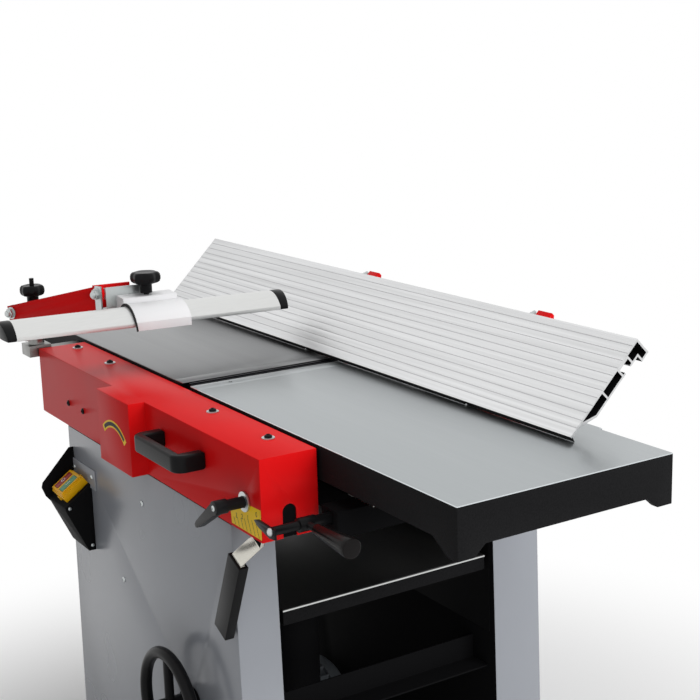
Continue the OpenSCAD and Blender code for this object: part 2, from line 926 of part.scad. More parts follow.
// Hardened inclined ways under the infeed table
module infeed_ways() {
    rise = cut_slope * way_len / 2;
    color("silver") at_top() for (x = way_x, y = [-way_y, way_y])
        slab_xz(y - way_w / 2, way_w) polygon([[x - way_len / 2, carrier_top], [x + way_len / 2, carrier_top],
            [x + way_len / 2, way_z - rise - part_gap], [x - way_len / 2, way_z + rise - part_gap]]);
}

// Angle rails that carry the front cover
module cover_rails() {
    rail_in = roller_x + block_half + 8;
    rod_side = rod_x_at - block_half;
    top = cover_top - cover_t;
    color("dimgray") at_top() for (x = [[rail_in, cover_x1 - 8], [cover_x0 + 8, rod_side]]) {
        span(x, [rail_leg - rail_t, rail_leg], [carrier_top, top]);
        span(x, [rail_leg - 40, rail_leg], [top - rail_t, top]);
    }
    color("dimgray") at_top() difference() {
        union() {
            span([lock_x - 14, lock_x + 14], [lock_back, lock_back + 8], [lock_z - 14, top]);
            span([lock_x - 14, lock_x + 14], [lock_back, rail_leg - 39], [top - rail_t, top]);
        }
        translate([lock_x, 0, lock_z]) rod_y(shaft_r + run_gap, cover_front, 0);
    }
}

// Folded sheet cover with the bearing bump, open below and behind
module cover_shell(grow, back) {
    g = grow;
    z0 = cover_top - cover_h;
    span([cover_x0 + g, cover_x1 - g], [cover_front + g, cover_back + back], [z0 - back, cover_top - g]);
    span([bump_x0 + g, bump_x1 - g], [cover_front - bump_out + g, cover_front + 10], [z0 - back, cover_top - g]);
}

module front_cover() {
    color("firebrick") at_top() difference() {
        cover_shell(0, 0);
        cover_shell(cover_t, 1);
        translate([0, slot_y, slot_top - slot_w / 2]) rod_x(slot_w / 2, cover_x1 - 2 * cover_t, cover_x1 + 1);
        span([cover_x1 - 2 * cover_t, cover_x1 + 1], [slot_y - slot_w / 2, slot_y + slot_w / 2],
            [cover_top - cover_h - 1, slot_top - slot_w / 2]);
        translate([clamp_x, 0, clamp_z]) rod_y(8 + run_gap, cover_front - 1, cover_front + cover_t + 1);
    }
}

// Bridge handle for lifting the tables
handle_x = [92, 240];
handle_z = [-56, -31];
handle_out = 46;
grip_t = 15;
module lift_handle() {
    r = 18;
    y0 = cover_front - handle_out;
    color("black") at_top() translate([0, 0, handle_z[0]]) linear_extrude(handle_z[1] - handle_z[0]) difference() {
        union() {
            translate([handle_x[0], y0 + r]) square([handle_x[1] - handle_x[0], handle_out - r]);
            translate([handle_x[0] + r, y0]) square([handle_x[1] - handle_x[0] - 2 * r, handle_out]);
            for (x = [handle_x[0] + r, handle_x[1] - r]) translate([x, y0 + r]) circle(r = r);
        }
        translate([handle_x[0] + grip_t + 4, y0 + grip_t])
            square([handle_x[1] - handle_x[0] - 2 * (grip_t + 4), handle_out]);
    }
}

// Slide bars for the fence on posts from the infeed carrier
module fence_rails() {
    color("dimgray") at_top() for (x = rail_x) difference() {
        slab_yz(x - 10, 20) polygon([[way_y + way_w / 2, carrier_bot], [bar_y0 + post_w, carrier_bot],
            [bar_y0 + post_w, post_top], [bar_y0 + post_edge, post_top], [bar_y0, post_top - post_edge],
            [bar_y0, carrier_bot + 24], [way_y + way_w / 2, carrier_bot + 24]]);
        translate([x, 0, bar_z]) rod_y(bar_d / 2, bar_y0 + 2, bar_y0 + 40);
    }
    color("silver") at_top() for (x = rail_x) translate([x, 0, bar_z])
        rod_y(bar_d / 2 - hair, bar_y0 + 2 + hair, bar_y0 + bar_len);
}

// Fence frame: local X is u up the face, local Y is w to the back, extruded along the machine
module in_fence(x, len) {
    at_top() translate([x, fence_y, fence_z]) rotate([fence_tilt, 0, 0]) rotate([90, 0, 90])
        linear_extrude(len) translate([0, lip_back]) mirror([0, 1]) children();
}

// Hollow fence extrusion: cells, a slot for the bracket bolts and a bead along the lower lip
module fence_face() {
    s = fence_wall;
    lip_u = -2.5;
    toe_u = 15;
    color("gainsboro") in_fence(fence_x0, fence_len) difference() {
        union() {
            polygon([[lip_u, 0], [fence_h, 0], [fence_h, ridge_t], [ridge_u, ridge_t], [ridge_u, fence_t],
                [heel_u, fence_t], [toe_u, s + 0.5], [lip_u, s]]);
            translate([1.5, s + 0.5]) circle(r = 2.2);
        }
        polygon([[toe_u + 8, s], [rib_u - s / 2, s], [rib_u - s / 2, fence_t - s], [heel_u + 1, fence_t - s]]);
        polygon([[rib_u + s / 2, s], [tslot_u - tslot_in / 2 - s, s], [tslot_u - tslot_in / 2 - s, fence_t - s],
            [rib_u + s / 2, fence_t - s]]);
        polygon([[tslot_u + tslot_in / 2 + s, s], [fence_h - s, s], [fence_h - s, ridge_t - s],
            [ridge_u + s, ridge_t - s], [ridge_u + s, fence_t - s], [tslot_u + tslot_in / 2 + s, fence_t - s]]);
        translate([tslot_u - tslot_neck / 2, fence_t - s - 1]) square([tslot_neck, s + 2]);
        translate([tslot_u - tslot_in / 2, 2 * s]) square([tslot_in, fence_t - 3 * s]);
        for (k = [1:groove_n]) translate([k * fence_h / (groove_n + 1) - groove_w / 2, -1])
            square([groove_w, 1 + groove_d]);
    }
}

// Red hinge brackets on the fence's back
module fence_brackets() {
    cheek = [[pin_u - 5, pin_w - 2], [pin_u - 5, pin_w + 3], [pin_u, pin_w + knuckle_r], [20, 26], [62, 46],
        [112, 46], [bracket_top - 8, ridge_t + 12], [bracket_top, ridge_t + 6], [bracket_top, ridge_t],
        [ridge_u, ridge_t], [ridge_u, fence_t], [heel_u, fence_t], [18, 6.6], [13, 5.4], [pin_u, 5.4]];
    web_top = fence_h + 12;
    web = [[ridge_u - 24, ridge_t + 1], [ridge_u, ridge_t], [web_top, ridge_t], [web_top, ridge_t + 5],
        [ridge_u - 24, ridge_t + 6]];
    crest = [[ridge_u, ridge_t], [bracket_top, ridge_t], [bracket_top, ridge_t + 5], [ridge_u, ridge_t + 5]];
    color("firebrick") for (x = arm_x) {
        for (s = [-1, 1]) difference() {
            in_fence(x + s * (arm_w / 2 + part_gap + ear_w / 2) - ear_w / 2, ear_w) polygon(cheek);
            in_fence(x - bracket_w, 2 * bracket_w) translate([pin_u, pin_w]) circle(r = tilt_pin_r);
        }
        in_fence(x - bracket_w / 2, bracket_w) polygon(web);
        in_fence(x - bracket_w / 4, bracket_w / 2) polygon(crest);
    }
    color("silver") for (x = arm_x)
        in_fence(x - bracket_w / 2 + 8, bracket_w - 16) translate([pin_u, pin_w]) circle(r = tilt_pin_r - hair);
}

// Carriage on the slide bars with two low arms to the fence hinge
module fence_carriage() {
    y1 = carriage_y + carriage_len;
    arm = [[tilt_y, tilt_z - knuckle_r], [bar_y0 + 26, tilt_z - knuckle_r], [carriage_y + 20, cross_z],
        [y1 - 10, cross_z], [y1 - 10, cross_z + 24], [carriage_y + 15, cross_z + 24],
        [bar_y0 + 16, tilt_z + knuckle_r], [tilt_y, tilt_z + knuckle_r]];
    color("dimgray") at_top() difference() {
        union() {
            span([rail_x[0] - 30, rail_x[1] + 30], [carriage_y, y1], [-6, cross_z + 10]);
            span([arm_x[0] - 20, arm_x[1] + 20], [carriage_y + 15, y1 - 10], [cross_z, cross_z + 24]);
            for (x = arm_x) {
                slab_yz(x - arm_w / 2, arm_w) polygon(arm);
                translate([0, tilt_y, tilt_z]) rod_x(knuckle_r, x - arm_w / 2, x + arm_w / 2);
            }
        }
        for (x = rail_x) translate([x, 0, bar_z]) rod_y(bar_d / 2 + run_gap, carriage_y - 1, y1 + 1);
        for (x = arm_x) translate([0, tilt_y, tilt_z]) rod_x(tilt_pin_r + run_gap, x - arm_w, x + arm_w);
        translate([(rail_x[0] + rail_x[1]) / 2, carriage_y + carriage_len / 2, cross_z - 10])
            cylinder(r = stud_r + run_gap, h = 60);
    }
}

module carriage_knob() {
    color("black") at_top()
        translate([(rail_x[0] + rail_x[1]) / 2, carriage_y + carriage_len / 2, cross_z + 24 + part_gap])
            star_knob(knob_d, 28, 0);
}

// Guard frame: local Y runs along the bar, local -X to its far edge, z = 0 at its lower edge
module in_guard() {
    translate(arm_at + [arm_run * cos(arm_yaw), arm_run * sin(arm_yaw), table_h + guard_z - arm_at[2]])
        rotate([0, 0, guard_yaw]) translate([-pivot_in[0], -pivot_in[1], 0]) children();
}

// Arched section of the bar, thickened along the bar from y
module guard_slab(y, len) {
    translate([0, y + len, 0]) rotate([90, 0, 0]) linear_extrude(len) children();
}

// Arc-topped outline of the bar, grown outwards by g and ending at height z0
module arch(g, z0) {
    intersection() {
        translate([-guard_w / 2, guard_h - guard_arc]) circle(r = guard_arc + g, $fn = 96);
        translate([-guard_w - g, z0]) square([guard_w + 2 * g, guard_h + 2 * g - z0]);
    }
}

module guard_bar() {
    color("gainsboro") in_guard() guard_slab(0, guard_len) difference() {
        arch(0, 0);
        arch(-guard_wall, -1);
    }
}

module guard_caps() {
    bow = guard_w * 2.4;
    color("black") in_guard() for (s = [0, 1]) intersection() {
        guard_slab(s == 0 ? -cap_len : guard_len, cap_len) arch(0, 0);
        translate([-guard_w / 2, s == 0 ? bow - cap_len : guard_len + cap_len - bow, -1])
            cylinder(r = bow, h = guard_h + 2, $fn = 96);
    }
}

// Saddle wrapped over the bar with a flat shelf for its clamp knob
module guard_saddle() {
    color("white") in_guard() difference() {
        guard_slab(saddle_y, saddle_len) difference() {
            union() {
                arch(saddle_t + saddle_gap, -6);
                translate([angle_x, shelf_low]) square([shelf_w, shelf_z - shelf_low]);
            }
            arch(saddle_gap, -7);
        }
        translate([stud_x, saddle_y + saddle_len / 2, 0]) cylinder(r = stud_r + run_gap, h = 60);
    }
}

module saddle_knob() {
    color("black") in_guard() translate([stud_x, saddle_y + saddle_len / 2, shelf_z + stud_show])
        star_knob(knob_d, 16, 0);
}

// Arm frame: local X runs up the arm from its lower pivot, local -Y faces the operator
module in_arm() {
    translate(arm_at + [0, 0, table_h]) rotate([0, 0, arm_yaw]) rotate([0, -arm_pitch, 0]) children();
}

// Upper pivot, level, with local X along the arm in plan
module at_upper_pivot() {
    translate(arm_at + [arm_run * cos(arm_yaw), arm_run * sin(arm_yaw), table_h + arm_len * sin(arm_pitch)])
        rotate([0, 0, arm_yaw]) children();
}

module guard_arm() {
    color("firebrick") {
        in_arm() difference() {
            slab_xz(-arm_t / 2, arm_t) polygon([[-arm_heel, -arm_up], [-arm_heel, arm_up], [arm_len + arm_nose, arm_up],
                [arm_len + arm_nose, -2], [arm_len - arm_nose, -arm_down], [20, -arm_down]]);
            rod_y(arm_pin_r + run_gap, -arm_t, arm_t);
            translate([arm_len, 0, 0]) rod_y(arm_pin_r + run_gap, -arm_t, arm_t);
        }
        at_upper_pivot() translate([-14, 0, 0]) rotate([0, 0, guard_yaw - arm_yaw])
            span([-arm_t, 0], [0, arm_tail], [-arm_down + 4, arm_up - 1]);
    }
}

// Zinc angle between the arm and the saddle, with its pivot bolt
module guard_angle() {
    color("lightgray") {
        difference() {
            in_guard() {
                span([angle_x - angle_t, angle_x], [angle_y, angle_y + angle_len], [angle_z, angle_z + angle_h]);
            }
            at_upper_pivot() rod_y(arm_pin_r, -30, 30);
        }
        difference() {
            at_upper_pivot() span(flange_x, [-arm_t / 2 - part_gap - angle_t, -arm_t / 2 - part_gap],
                [-flange_low, arm_up]);
            at_upper_pivot() rod_y(arm_pin_r, -30, 30);
        }
        at_upper_pivot() {
            rod_y(arm_pin_r, -arm_t / 2 - part_gap - angle_t - 8, arm_t / 2 + 5);
            span(back_x, [arm_t / 2 + part_gap, arm_t / 2 + part_gap + angle_t], [-back_z, back_z]);
        }
    }
}

// Bracket on the outfeed table with the arm's lower pivot and the lift screw's nut
module guard_bracket() {
    half = nut_w / 2;
    seat = arm_at[2] - post_low;
    color("silver") {
        at_top() difference() {
            union() {
                span([lift_at[0] - half, lift_at[0] + half], [lift_at[1] - half, lift_at[1] + half], [-nut_h, 0]);
                span([lift_at[0] - half, lift_at[0] + half], [lift_at[1], -half_w], [-nut_h, -nut_h / 2]);
                translate([lift_at[0], lift_at[1], -1]) cylinder(r = neck_r + 4, h = seat + 2);
                translate(arm_at) rotate([0, 0, arm_yaw]) span([-14, 26], [arm_t / 2 + part_gap, 56],
                    [-post_low, 8 - post_low]);
            }
            translate([lift_at[0], lift_at[1], -nut_h - 1]) cylinder(r = stud_r + run_gap, h = nut_h + seat + 20);
        }
        translate(arm_at + [0, 0, table_h]) rotate([0, 0, arm_yaw]) {
            difference() {
                slab_xz(arm_t / 2 + part_gap, post_t) polygon([[-14, -post_low], [14, -post_low], [14, 6],
                    [8, 12], [-8, 12], [-14, 6]]);
                rod_y(arm_pin_r - hair, -20, 20);
            }
            rod_y(arm_pin_r - hair, -arm_t / 2 - 12, arm_t / 2 + part_gap + post_t + 3);
        }
    }
}

module lift_knob() {
    color("black") at_top() translate([lift_at[0], lift_at[1], lift_z]) star_knob(lift_d, lift_z + nut_h + 2, 12);
}

// Depth lever with its pointer, hub, block and rod
module depth_lever() {
    grip_y = slot_y + 1;
    color("black") at_top() translate([outer_x, 0, depth_z]) {
        rod_y(6, depth_front, grip_y);
        rod_y(shaft_r, grip_y, -half_w + 20);
        rod_y(9.5, grip_y - 12, grip_y + 12);
        slab_xz(depth_front - 3, 3) difference() {
            polygon([[10, -8], [10, 5], [-34, 6], [-44, 3], [-34, -3], [-4, -10]]);
            circle(r = 3);
        }
        translate([0, grip_y, 0]) rod_x(5, 8, depth_reach - 60);
    }
}

module depth_grip() {
    grip_y = slot_y + 1;
    color("dimgray") at_top() translate([outer_x, grip_y, depth_z]) {
        translate([depth_reach - 82, 0, 0]) rotate([0, 90, 0]) difference() {
            union() {
                cylinder(r1 = 7.5, r2 = 13.5, h = 76);
                translate([0, 0, 76]) cylinder(r1 = 13.5, r2 = 13, h = 6);
            }
            translate([0, 0, -1]) cylinder(r = 5, h = 24);
        }
    }
}

// Clamp lever on the cover's front with its washer
module clamp_lever() {
    lean = 215;
    head = cover_front - 46;
    color("silver") at_top() translate([clamp_x, 0, clamp_z]) rod_y(13.5, cover_front - 3 - part_gap, cover_front - part_gap);
    color("black") at_top() translate([clamp_x, 0, clamp_z]) {
        rod_y(8, cover_front - 4, cover_front + 12);
        rod_y(7.6, head + 1, cover_front - 3 - part_gap);
        rod_y(9.5, head, head + 18);
        rotate([0, -lean, 0]) slab_xz(head, 11)
            polygon([[0, -8], [8, -8], [clamp_reach - 5, -4.4], [clamp_reach, -2.4], [clamp_reach, 2.4],
                [clamp_reach - 5, 4.4], [8, 8], [0, 8]]);
    }
}

// Bent flat lever that locks the tables down, with its grip
module lock_lever() {
    t = lock_t / 2;
    s = lock_step;
    d = lock_drop;
    color("silver") at_top() translate([lock_x, lock_y, lock_z]) rotate([0, lock_lean, 0]) {
        difference() {
            union() {
                translate([-lock_w / 2, 0, 0]) rotate([90, 0, 90]) linear_extrude(lock_w)
                    polygon([[-t, 0], [t, 0], [t, -d], [t - s, -d - s], [t - s, -lock_len + 20],
                        [-t - s, -lock_len + 20], [-t - s, -d - s - 2], [-t, -d - 2]]);
                rod_y(lock_w / 2, -t, t);
            }
        }
        rod_y(shaft_r, -t, t + part_gap + 10);
    }
    color("black") at_top() translate([lock_x, lock_y, lock_z]) rotate([0, lock_lean, 0]) translate([0, -s, 0])
        difference() {
            span([-lock_w / 2 - 4, lock_w / 2 + 4], [-t - 4, t + 4], [-lock_len, -d - s - 4]);
            span([-lock_w / 2, lock_w / 2], [-t, t], [-lock_len + 20, 0]);
        }
}

plinth();
front_frame();
rear_frame();
cross_members();
tunnel_liner();
bearing_housings();
cutter_bearings();
roller_blocks();
kickback_rod();
hinge_brackets();
hinge_pins();
rest_pads();
column_base();
motor();
motor_mount();
drive_belt();
belt_cover();
wheel_boss();
switch_bracket();
switch_box();
stop_button();
start_button();
cutterblock();
planer_knives();
cutter_pulley();
motor_pulley();
infeed_roller();
outfeed_roller();
kickback_fingers();
thickness_table();
lift_column();
handwheel();
wheel_grip();
outfeed_table();
outfeed_lip();
outfeed_carrier();
infeed_carrier();
infeed_ways();
cover_rails();
front_cover();
lift_handle();
fence_rails();
guard_bracket();
infeed_table();
infeed_lip();
fence_carriage();
carriage_knob();
fence_face();
fence_brackets();
guard_arm();
guard_angle();
guard_saddle();
saddle_knob();
guard_bar();
guard_caps();
lift_knob();
depth_lever();
depth_grip();
clamp_lever();
lock_lever();
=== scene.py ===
"""Studio scene for a combination planer thicknesser: finishes, softened edges and small parts.

Sizes are in millimetres and heights are counted from the table surface, unless a comment says
otherwise. Meshes are in metres, in the frame of the solids.
"""

from __future__ import annotations

import json
import logging
import math
from dataclasses import dataclass
from enum import Enum
from typing import Callable, Dict, List, Optional, Sequence, Tuple, Union

import bmesh
import bpy
from mathutils import Matrix, Vector

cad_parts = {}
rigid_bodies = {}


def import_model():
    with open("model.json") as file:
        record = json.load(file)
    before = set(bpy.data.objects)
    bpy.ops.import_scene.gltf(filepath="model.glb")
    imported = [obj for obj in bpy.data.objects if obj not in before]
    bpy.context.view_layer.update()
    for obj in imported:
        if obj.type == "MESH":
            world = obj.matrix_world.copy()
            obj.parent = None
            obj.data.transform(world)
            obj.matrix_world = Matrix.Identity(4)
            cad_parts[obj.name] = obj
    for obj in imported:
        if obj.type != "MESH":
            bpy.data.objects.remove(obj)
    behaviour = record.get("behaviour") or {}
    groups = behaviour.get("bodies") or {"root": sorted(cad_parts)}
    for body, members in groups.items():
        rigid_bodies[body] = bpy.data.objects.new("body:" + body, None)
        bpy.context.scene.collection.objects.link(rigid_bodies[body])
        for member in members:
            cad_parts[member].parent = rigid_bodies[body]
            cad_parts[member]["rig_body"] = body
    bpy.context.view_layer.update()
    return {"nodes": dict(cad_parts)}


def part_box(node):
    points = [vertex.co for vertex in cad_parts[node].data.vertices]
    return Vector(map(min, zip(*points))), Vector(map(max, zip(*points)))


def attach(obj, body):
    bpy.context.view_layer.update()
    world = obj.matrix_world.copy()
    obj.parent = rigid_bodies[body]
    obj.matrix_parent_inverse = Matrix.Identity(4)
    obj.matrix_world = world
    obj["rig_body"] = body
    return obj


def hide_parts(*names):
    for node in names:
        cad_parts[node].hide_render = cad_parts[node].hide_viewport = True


LOG = logging.getLogger("planer")
MM = 0.001
TABLE_H = 860.0
FULL_TURN = 2.0 * math.pi
PARALLEL = 1e-4
ORIGIN = (0.0, 0.0, 0.0)
RIGHT = (1.0, 0.0, 0.0)
FRONT = (0.0, -1.0, 0.0)
UP = (0.0, 0.0, 1.0)
# Merging distances in metres, and angles between faces in radians.
JOIN_GAP = 0.002 * MM
SOLID_GAP = 0.02 * MM
FLAT_ANGLE = math.radians(0.6)
EDGE_ANGLE = math.radians(28.0)
PART_SHARP = math.radians(35.0)
PIECE_SHARP = math.radians(50.0)
# Parts of a unit normal along an axis from which a face counts as facing that way.
FACING = 0.5
UPWARD = 0.9
DOWNWARD = -0.2
HEX_SIDES = 6
BAND_STEPS = 24
# Font size for a figure one high, and half the thickness of a figure.
FIGURE_FONT = 1.4
FIGURE_HALF = 0.05
# First input and output of a Mix node for each data type.
MIX_SOCKETS = {"FLOAT": (2, 0), "RGBA": (6, 2)}

Point = Tuple[float, float]
Triple = Tuple[float, float, float]
Quad = Tuple[float, float, float, float]
Shape = bmesh.types.BMesh
Node = bpy.types.Node
Tree = bpy.types.NodeTree
Socket = bpy.types.NodeSocket
Value = Union[Socket, float, Sequence[float]]
Inputs = Dict[Union[str, int], Value]
Pick = Callable[[Vector, Vector], int]


class Body(Enum):
    """Moving groups that the small parts ride on."""

    BASE = "base"
    BED = "bed"
    TABLES = "tables"
    INFEED = "infeed"
    FENCE = "fence"
    CARRIAGE = "carriage"
    GUARD_HEAD = "guard_head"
    DEPTH_LEVER = "depth_lever"
    CLAMP_LEVER = "clamp_lever"
    STOP = "stop_button"
    START = "start_button"


def spot(x: float, y: float, z: float) -> Vector:
    """Point in metres from millimetres, with z counted from the table surface."""
    return Vector((x * MM, y * MM, (z + TABLE_H) * MM))


def tint(colour: Triple, factor: float) -> Sequence[float]:
    """Opaque colour made lighter or darker by a factor."""
    return (*(min(1.0, channel * factor) for channel in colour), 1.0)


class Shade:
    """Short way to lay out shader nodes in one material or group tree."""

    def __init__(self, tree: Tree) -> None:
        """Keeps the tree that the nodes go into."""
        self.tree = tree

    def fill(self, node: Node, inputs: Inputs) -> None:
        """Fills a node's inputs.

        Args:
            node: the node.
            inputs: sockets to link or plain values to set, by input name or number.
        """
        for key, value in inputs.items():
            if isinstance(value, Socket):
                self.tree.links.new(value, node.inputs[key])
            else:
                node.inputs[key].default_value = value

    def node(self, kind: str, inputs: Optional[Inputs] = None, **settings: object) -> Node:
        """Adds a node.

        Args:
            kind: node type name without its ShaderNode prefix.
            inputs: what goes into its inputs.
            settings: attributes that are set on it first.

        Returns:
            The new node.
        """
        made = self.tree.nodes.new("ShaderNode" + kind)
        for key, value in settings.items():
            setattr(made, key, value)
        self.fill(made, inputs or {})
        return made

    def group(self, tree: Tree, inputs: Inputs) -> Sequence[Socket]:
        """Places a shared effect with its own values and gives its outputs."""
        return self.node("Group", inputs, node_tree=tree).outputs

    def place(self) -> Socket:
        """Object coordinates."""
        return self.node("TexCoord").outputs["Object"]

    def calc(self, operation: str, first: Value, second: Value) -> Socket:
        """Result of a Math node on two values."""
        return self.node("Math", {0: first, 1: second}, operation=operation).outputs[0]

    def span(self, value: Socket, low: float, high: float) -> Socket:
        """Maps a 0 to 1 value to a range from low to high."""
        made = self.node("MapRange", {"Value": value, "To Min": low, "To Max": high})
        return made.outputs["Result"]

    def mix(self, factor: Socket, low: Value, high: Value, kind: str = "RGBA") -> Socket:
        """Mixes two colours or numbers.

        Args:
            factor: the socket that drives the mix.
            low: socket or plain value at 0.
            high: socket or plain value at 1.
            kind: data type of the node.

        Returns:
            The mixed socket.
        """
        first, out = MIX_SOCKETS[kind]
        inputs = {0: factor, first: low, first + 1: high}
        return self.node("Mix", inputs, data_type=kind).outputs[out]

    def vary(self, factor: Socket, colour: Triple, dark: float, light: float) -> Socket:
        """Colour that goes from a darker tint at 0 to a lighter one at 1."""
        return self.mix(factor, tint(colour, dark), tint(colour, light))

    def bump(self, height: Socket, strength: float, depth: float) -> Socket:
        """Normal of a surface relief with a strength and a depth in metres."""
        made = self.node("Bump", {"Strength": strength, "Distance": depth, "Height": height})
        return made.outputs["Normal"]


class Effects:
    """Shader node groups that several finishes share."""

    def __init__(self) -> None:
        """Builds each group once."""
        self.grain = self._grain()
        self.brushed = self._brushed()

    @staticmethod
    def _open(
        name: str, inputs: Sequence[str], outputs: Sequence[str],
    ) -> Tuple[Shade, Node, Node]:
        """Starts a group with its float sockets.

        Args:
            name: group name.
            inputs: names of the inputs.
            outputs: names of the outputs.

        Returns:
            The group's layout helper, input node and output node.
        """
        tree = bpy.data.node_groups.new(name, "ShaderNodeTree")
        for keys, way in ((inputs, "INPUT"), (outputs, "OUTPUT")):
            for key in keys:
                tree.interface.new_socket(key, in_out=way, socket_type="NodeSocketFloat")
        return Shade(tree), tree.nodes.new("NodeGroupInput"), tree.nodes.new("NodeGroupOutput")

    def _grain(self) -> Tree:
        """Fine grain and soft clouds in object space.

        Returns:
            The node group.
        """
        shade, source, sink = self._open("surface_grain", ("Fine", "Clouds"), ("Grain", "Cloud"))
        place = shade.place()
        for key, out, detail in (("Fine", "Grain", 3.0), ("Clouds", "Cloud", 2.0)):
            inputs = {"Vector": place, "Scale": source.outputs[key], "Detail": detail}
            shade.fill(sink, {out: shade.node("TexNoise", inputs).outputs["Fac"]})
        return shade.tree

    def _brushed(self) -> Tree:
        """Long scratches along one axis in object space.

        Returns:
            The node group.
        """
        shade, source, sink = self._open("brushed_lines", ("X", "Y", "Z"), ("Line", "Sweep"))
        scales = shade.node("CombineXYZ", {axis: source.outputs[axis] for axis in "XYZ"})
        sides = {0: shade.place(), 1: scales.outputs[0]}
        place = shade.node("VectorMath", sides, operation="MULTIPLY").outputs[0]
        for out, scale in (("Line", 1.0), ("Sweep", 0.08)):
            inputs = {"Vector": place, "Scale": scale, "Detail": 4.0}
            shade.fill(sink, {out: shade.node("TexNoise", inputs).outputs["Fac"]})
        return shade.tree


@dataclass(frozen=True)
class Finish:
    """Common part of every finish.

    The slot is the record's material slot, the gloss is the specular level, and the roughness
    swings by the spread.
    """

    name: str
    slot: str
    colour: Triple
    roughness: float
    gloss: float = 0.5
    spread: float = 0.05

    def rough(self, shade: Shade, value: Socket) -> Socket:
        """Roughness that swings with a 0 to 1 value."""
        return shade.span(value, self.roughness - self.spread, self.roughness + self.spread)

    def inputs(self, shade: Shade, effects: Effects) -> Inputs:
        """Lays out the finish's nodes.

        Args:
            shade: layout helper of the material.
            effects: the shared groups.

        Returns:
            What goes into the shader's inputs.
        """
        raise NotImplementedError

    def material(self, effects: Effects) -> bpy.types.Material:
        """Builds the finish's material.

        Args:
            effects: the shared groups.

        Returns:
            The material.
        """
        material = bpy.data.materials.new(self.name)
        material.use_nodes = True
        shade = Shade(material.node_tree)
        shader = material.node_tree.nodes["Principled BSDF"]
        shade.fill(shader, {"Specular IOR Level": self.gloss, **self.inputs(shade, effects)})
        return material


@dataclass(frozen=True)
class Paint(Finish):
    """Powder coat or lacquer with soft orange peel."""

    coat: float = 0.0
    coat_roughness: float = 0.12
    peel: float = 420.0
    clouds: float = 7.0
    mottle: Point = (0.94, 1.06)
    relief: float = 0.08
    depth: float = 0.0004

    def inputs(self, shade: Shade, effects: Effects) -> Inputs:
        """Lays out the paint's nodes.

        Args:
            shade: layout helper of the material.
            effects: the shared groups.

        Returns:
            What goes into the shader's inputs.
        """
        grain = shade.group(effects.grain, {"Fine": self.peel, "Clouds": self.clouds})
        return {
            "Base Color": shade.vary(grain["Cloud"], self.colour, *self.mottle),
            "Roughness": self.rough(shade, grain["Cloud"]),
            "Coat Weight": self.coat,
            "Coat Roughness": self.coat_roughness,
            "Normal": shade.bump(grain["Grain"], self.relief, self.depth),
        }


@dataclass(frozen=True)
class Metal(Finish):
    """Brushed, turned or plated metal."""

    spread: float = 0.08
    lines: Triple = (300.0, 20.0, 300.0)
    streak: Point = (0.93, 1.05)
    relief: float = 0.05
    depth: float = 0.0002

    def inputs(self, shade: Shade, effects: Effects) -> Inputs:
        """Lays out the metal's nodes.

        Args:
            shade: layout helper of the material.
            effects: the shared groups.

        Returns:
            What goes into the shader's inputs.
        """
        brush = shade.group(effects.brushed, dict(zip("XYZ", self.lines)))
        return {
            "Base Color": shade.vary(brush["Line"], self.colour, *self.streak),
            "Metallic": 1.0,
            "Roughness": self.rough(shade, brush["Sweep"]),
            "Normal": shade.bump(brush["Line"], self.relief, self.depth),
        }


@dataclass(frozen=True)
class Plastic(Finish):
    """Moulded plastic or rubber with a fine grain."""

    spread: float = 0.08
    grain: float = 1400.0
    clouds: float = 20.0
    mottle: Point = (0.88, 1.12)
    relief: float = 0.12
    depth: float = 0.0003

    def inputs(self, shade: Shade, effects: Effects) -> Inputs:
        """Lays out the plastic's nodes.

        Args:
            shade: layout helper of the material.
            effects: the shared groups.

        Returns:
            What goes into the shader's inputs.
        """
        grain = shade.group(effects.grain, {"Fine": self.grain, "Clouds": self.clouds})
        return {
            "Base Color": shade.vary(grain["Cloud"], self.colour, *self.mottle),
            "Roughness": self.rough(shade, grain["Grain"]),
            "Normal": shade.bump(grain["Grain"], self.relief, self.depth),
        }


@dataclass(frozen=True)
class GroundIron(Finish):
    """Cast iron ground on top, with a painted highlight on its rim; painted black and rough below.

    The paint ends at the level, counted from the floor. The rim is the height of the painted
    highlight band above it, and the edge is the tint of that band.
    """

    # Rim and edge set a lighter band along the top's rim, a painted highlight.
    level: float = TABLE_H - 1.3
    rim: float = 1.1
    edge: float = 1.0
    lines: Triple = (5.0, 520.0, 1.0)
    streak: Point = (0.95, 1.04)
    shine: float = 0.92
    side: Triple = (0.007, 0.007, 0.0075)
    side_roughness: float = 0.62
    casting: Point = (520.0, 5.0)
    mottle: Point = (0.5, 1.9)
    scratch: float = 0.05
    relief: float = 0.5
    depth: float = 0.0006

    def inputs(self, shade: Shade, effects: Effects) -> Inputs:
        """Lays out the iron's nodes.

        Args:
            shade: layout helper of the material.
            effects: the shared groups.

        Returns:
            What goes into the shader's inputs.
        """
        height = shade.node("SeparateXYZ", {0: shade.place()}).outputs["Z"]
        top = shade.calc("GREATER_THAN", height, self.level * MM)
        flat = shade.calc("GREATER_THAN", height, (self.level + self.rim) * MM)
        brush = shade.group(effects.brushed, dict(zip("XYZ", self.lines)))
        grain = shade.group(effects.grain, dict(zip(("Fine", "Clouds"), self.casting)))
        ground = shade.vary(brush["Line"], self.colour, *self.streak)
        # Painted highlight: the rim band takes the edge tint.
        rim_highlight = shade.mix(flat, tint(self.colour, self.edge), ground)
        cast = shade.vary(grain["Grain"], self.side, *self.mottle)
        satin = self.rough(shade, brush["Sweep"])
        fine = shade.span(brush["Line"], 0.0, self.scratch)
        surface = shade.mix(top, grain["Grain"], fine, "FLOAT")
        return {
            "Base Color": shade.mix(top, cast, rim_highlight),
            "Metallic": shade.span(top, 0.0, self.shine),
            "Roughness": shade.mix(top, self.side_roughness, satin, "FLOAT"),
            "Normal": shade.bump(surface, self.relief, self.depth),
        }


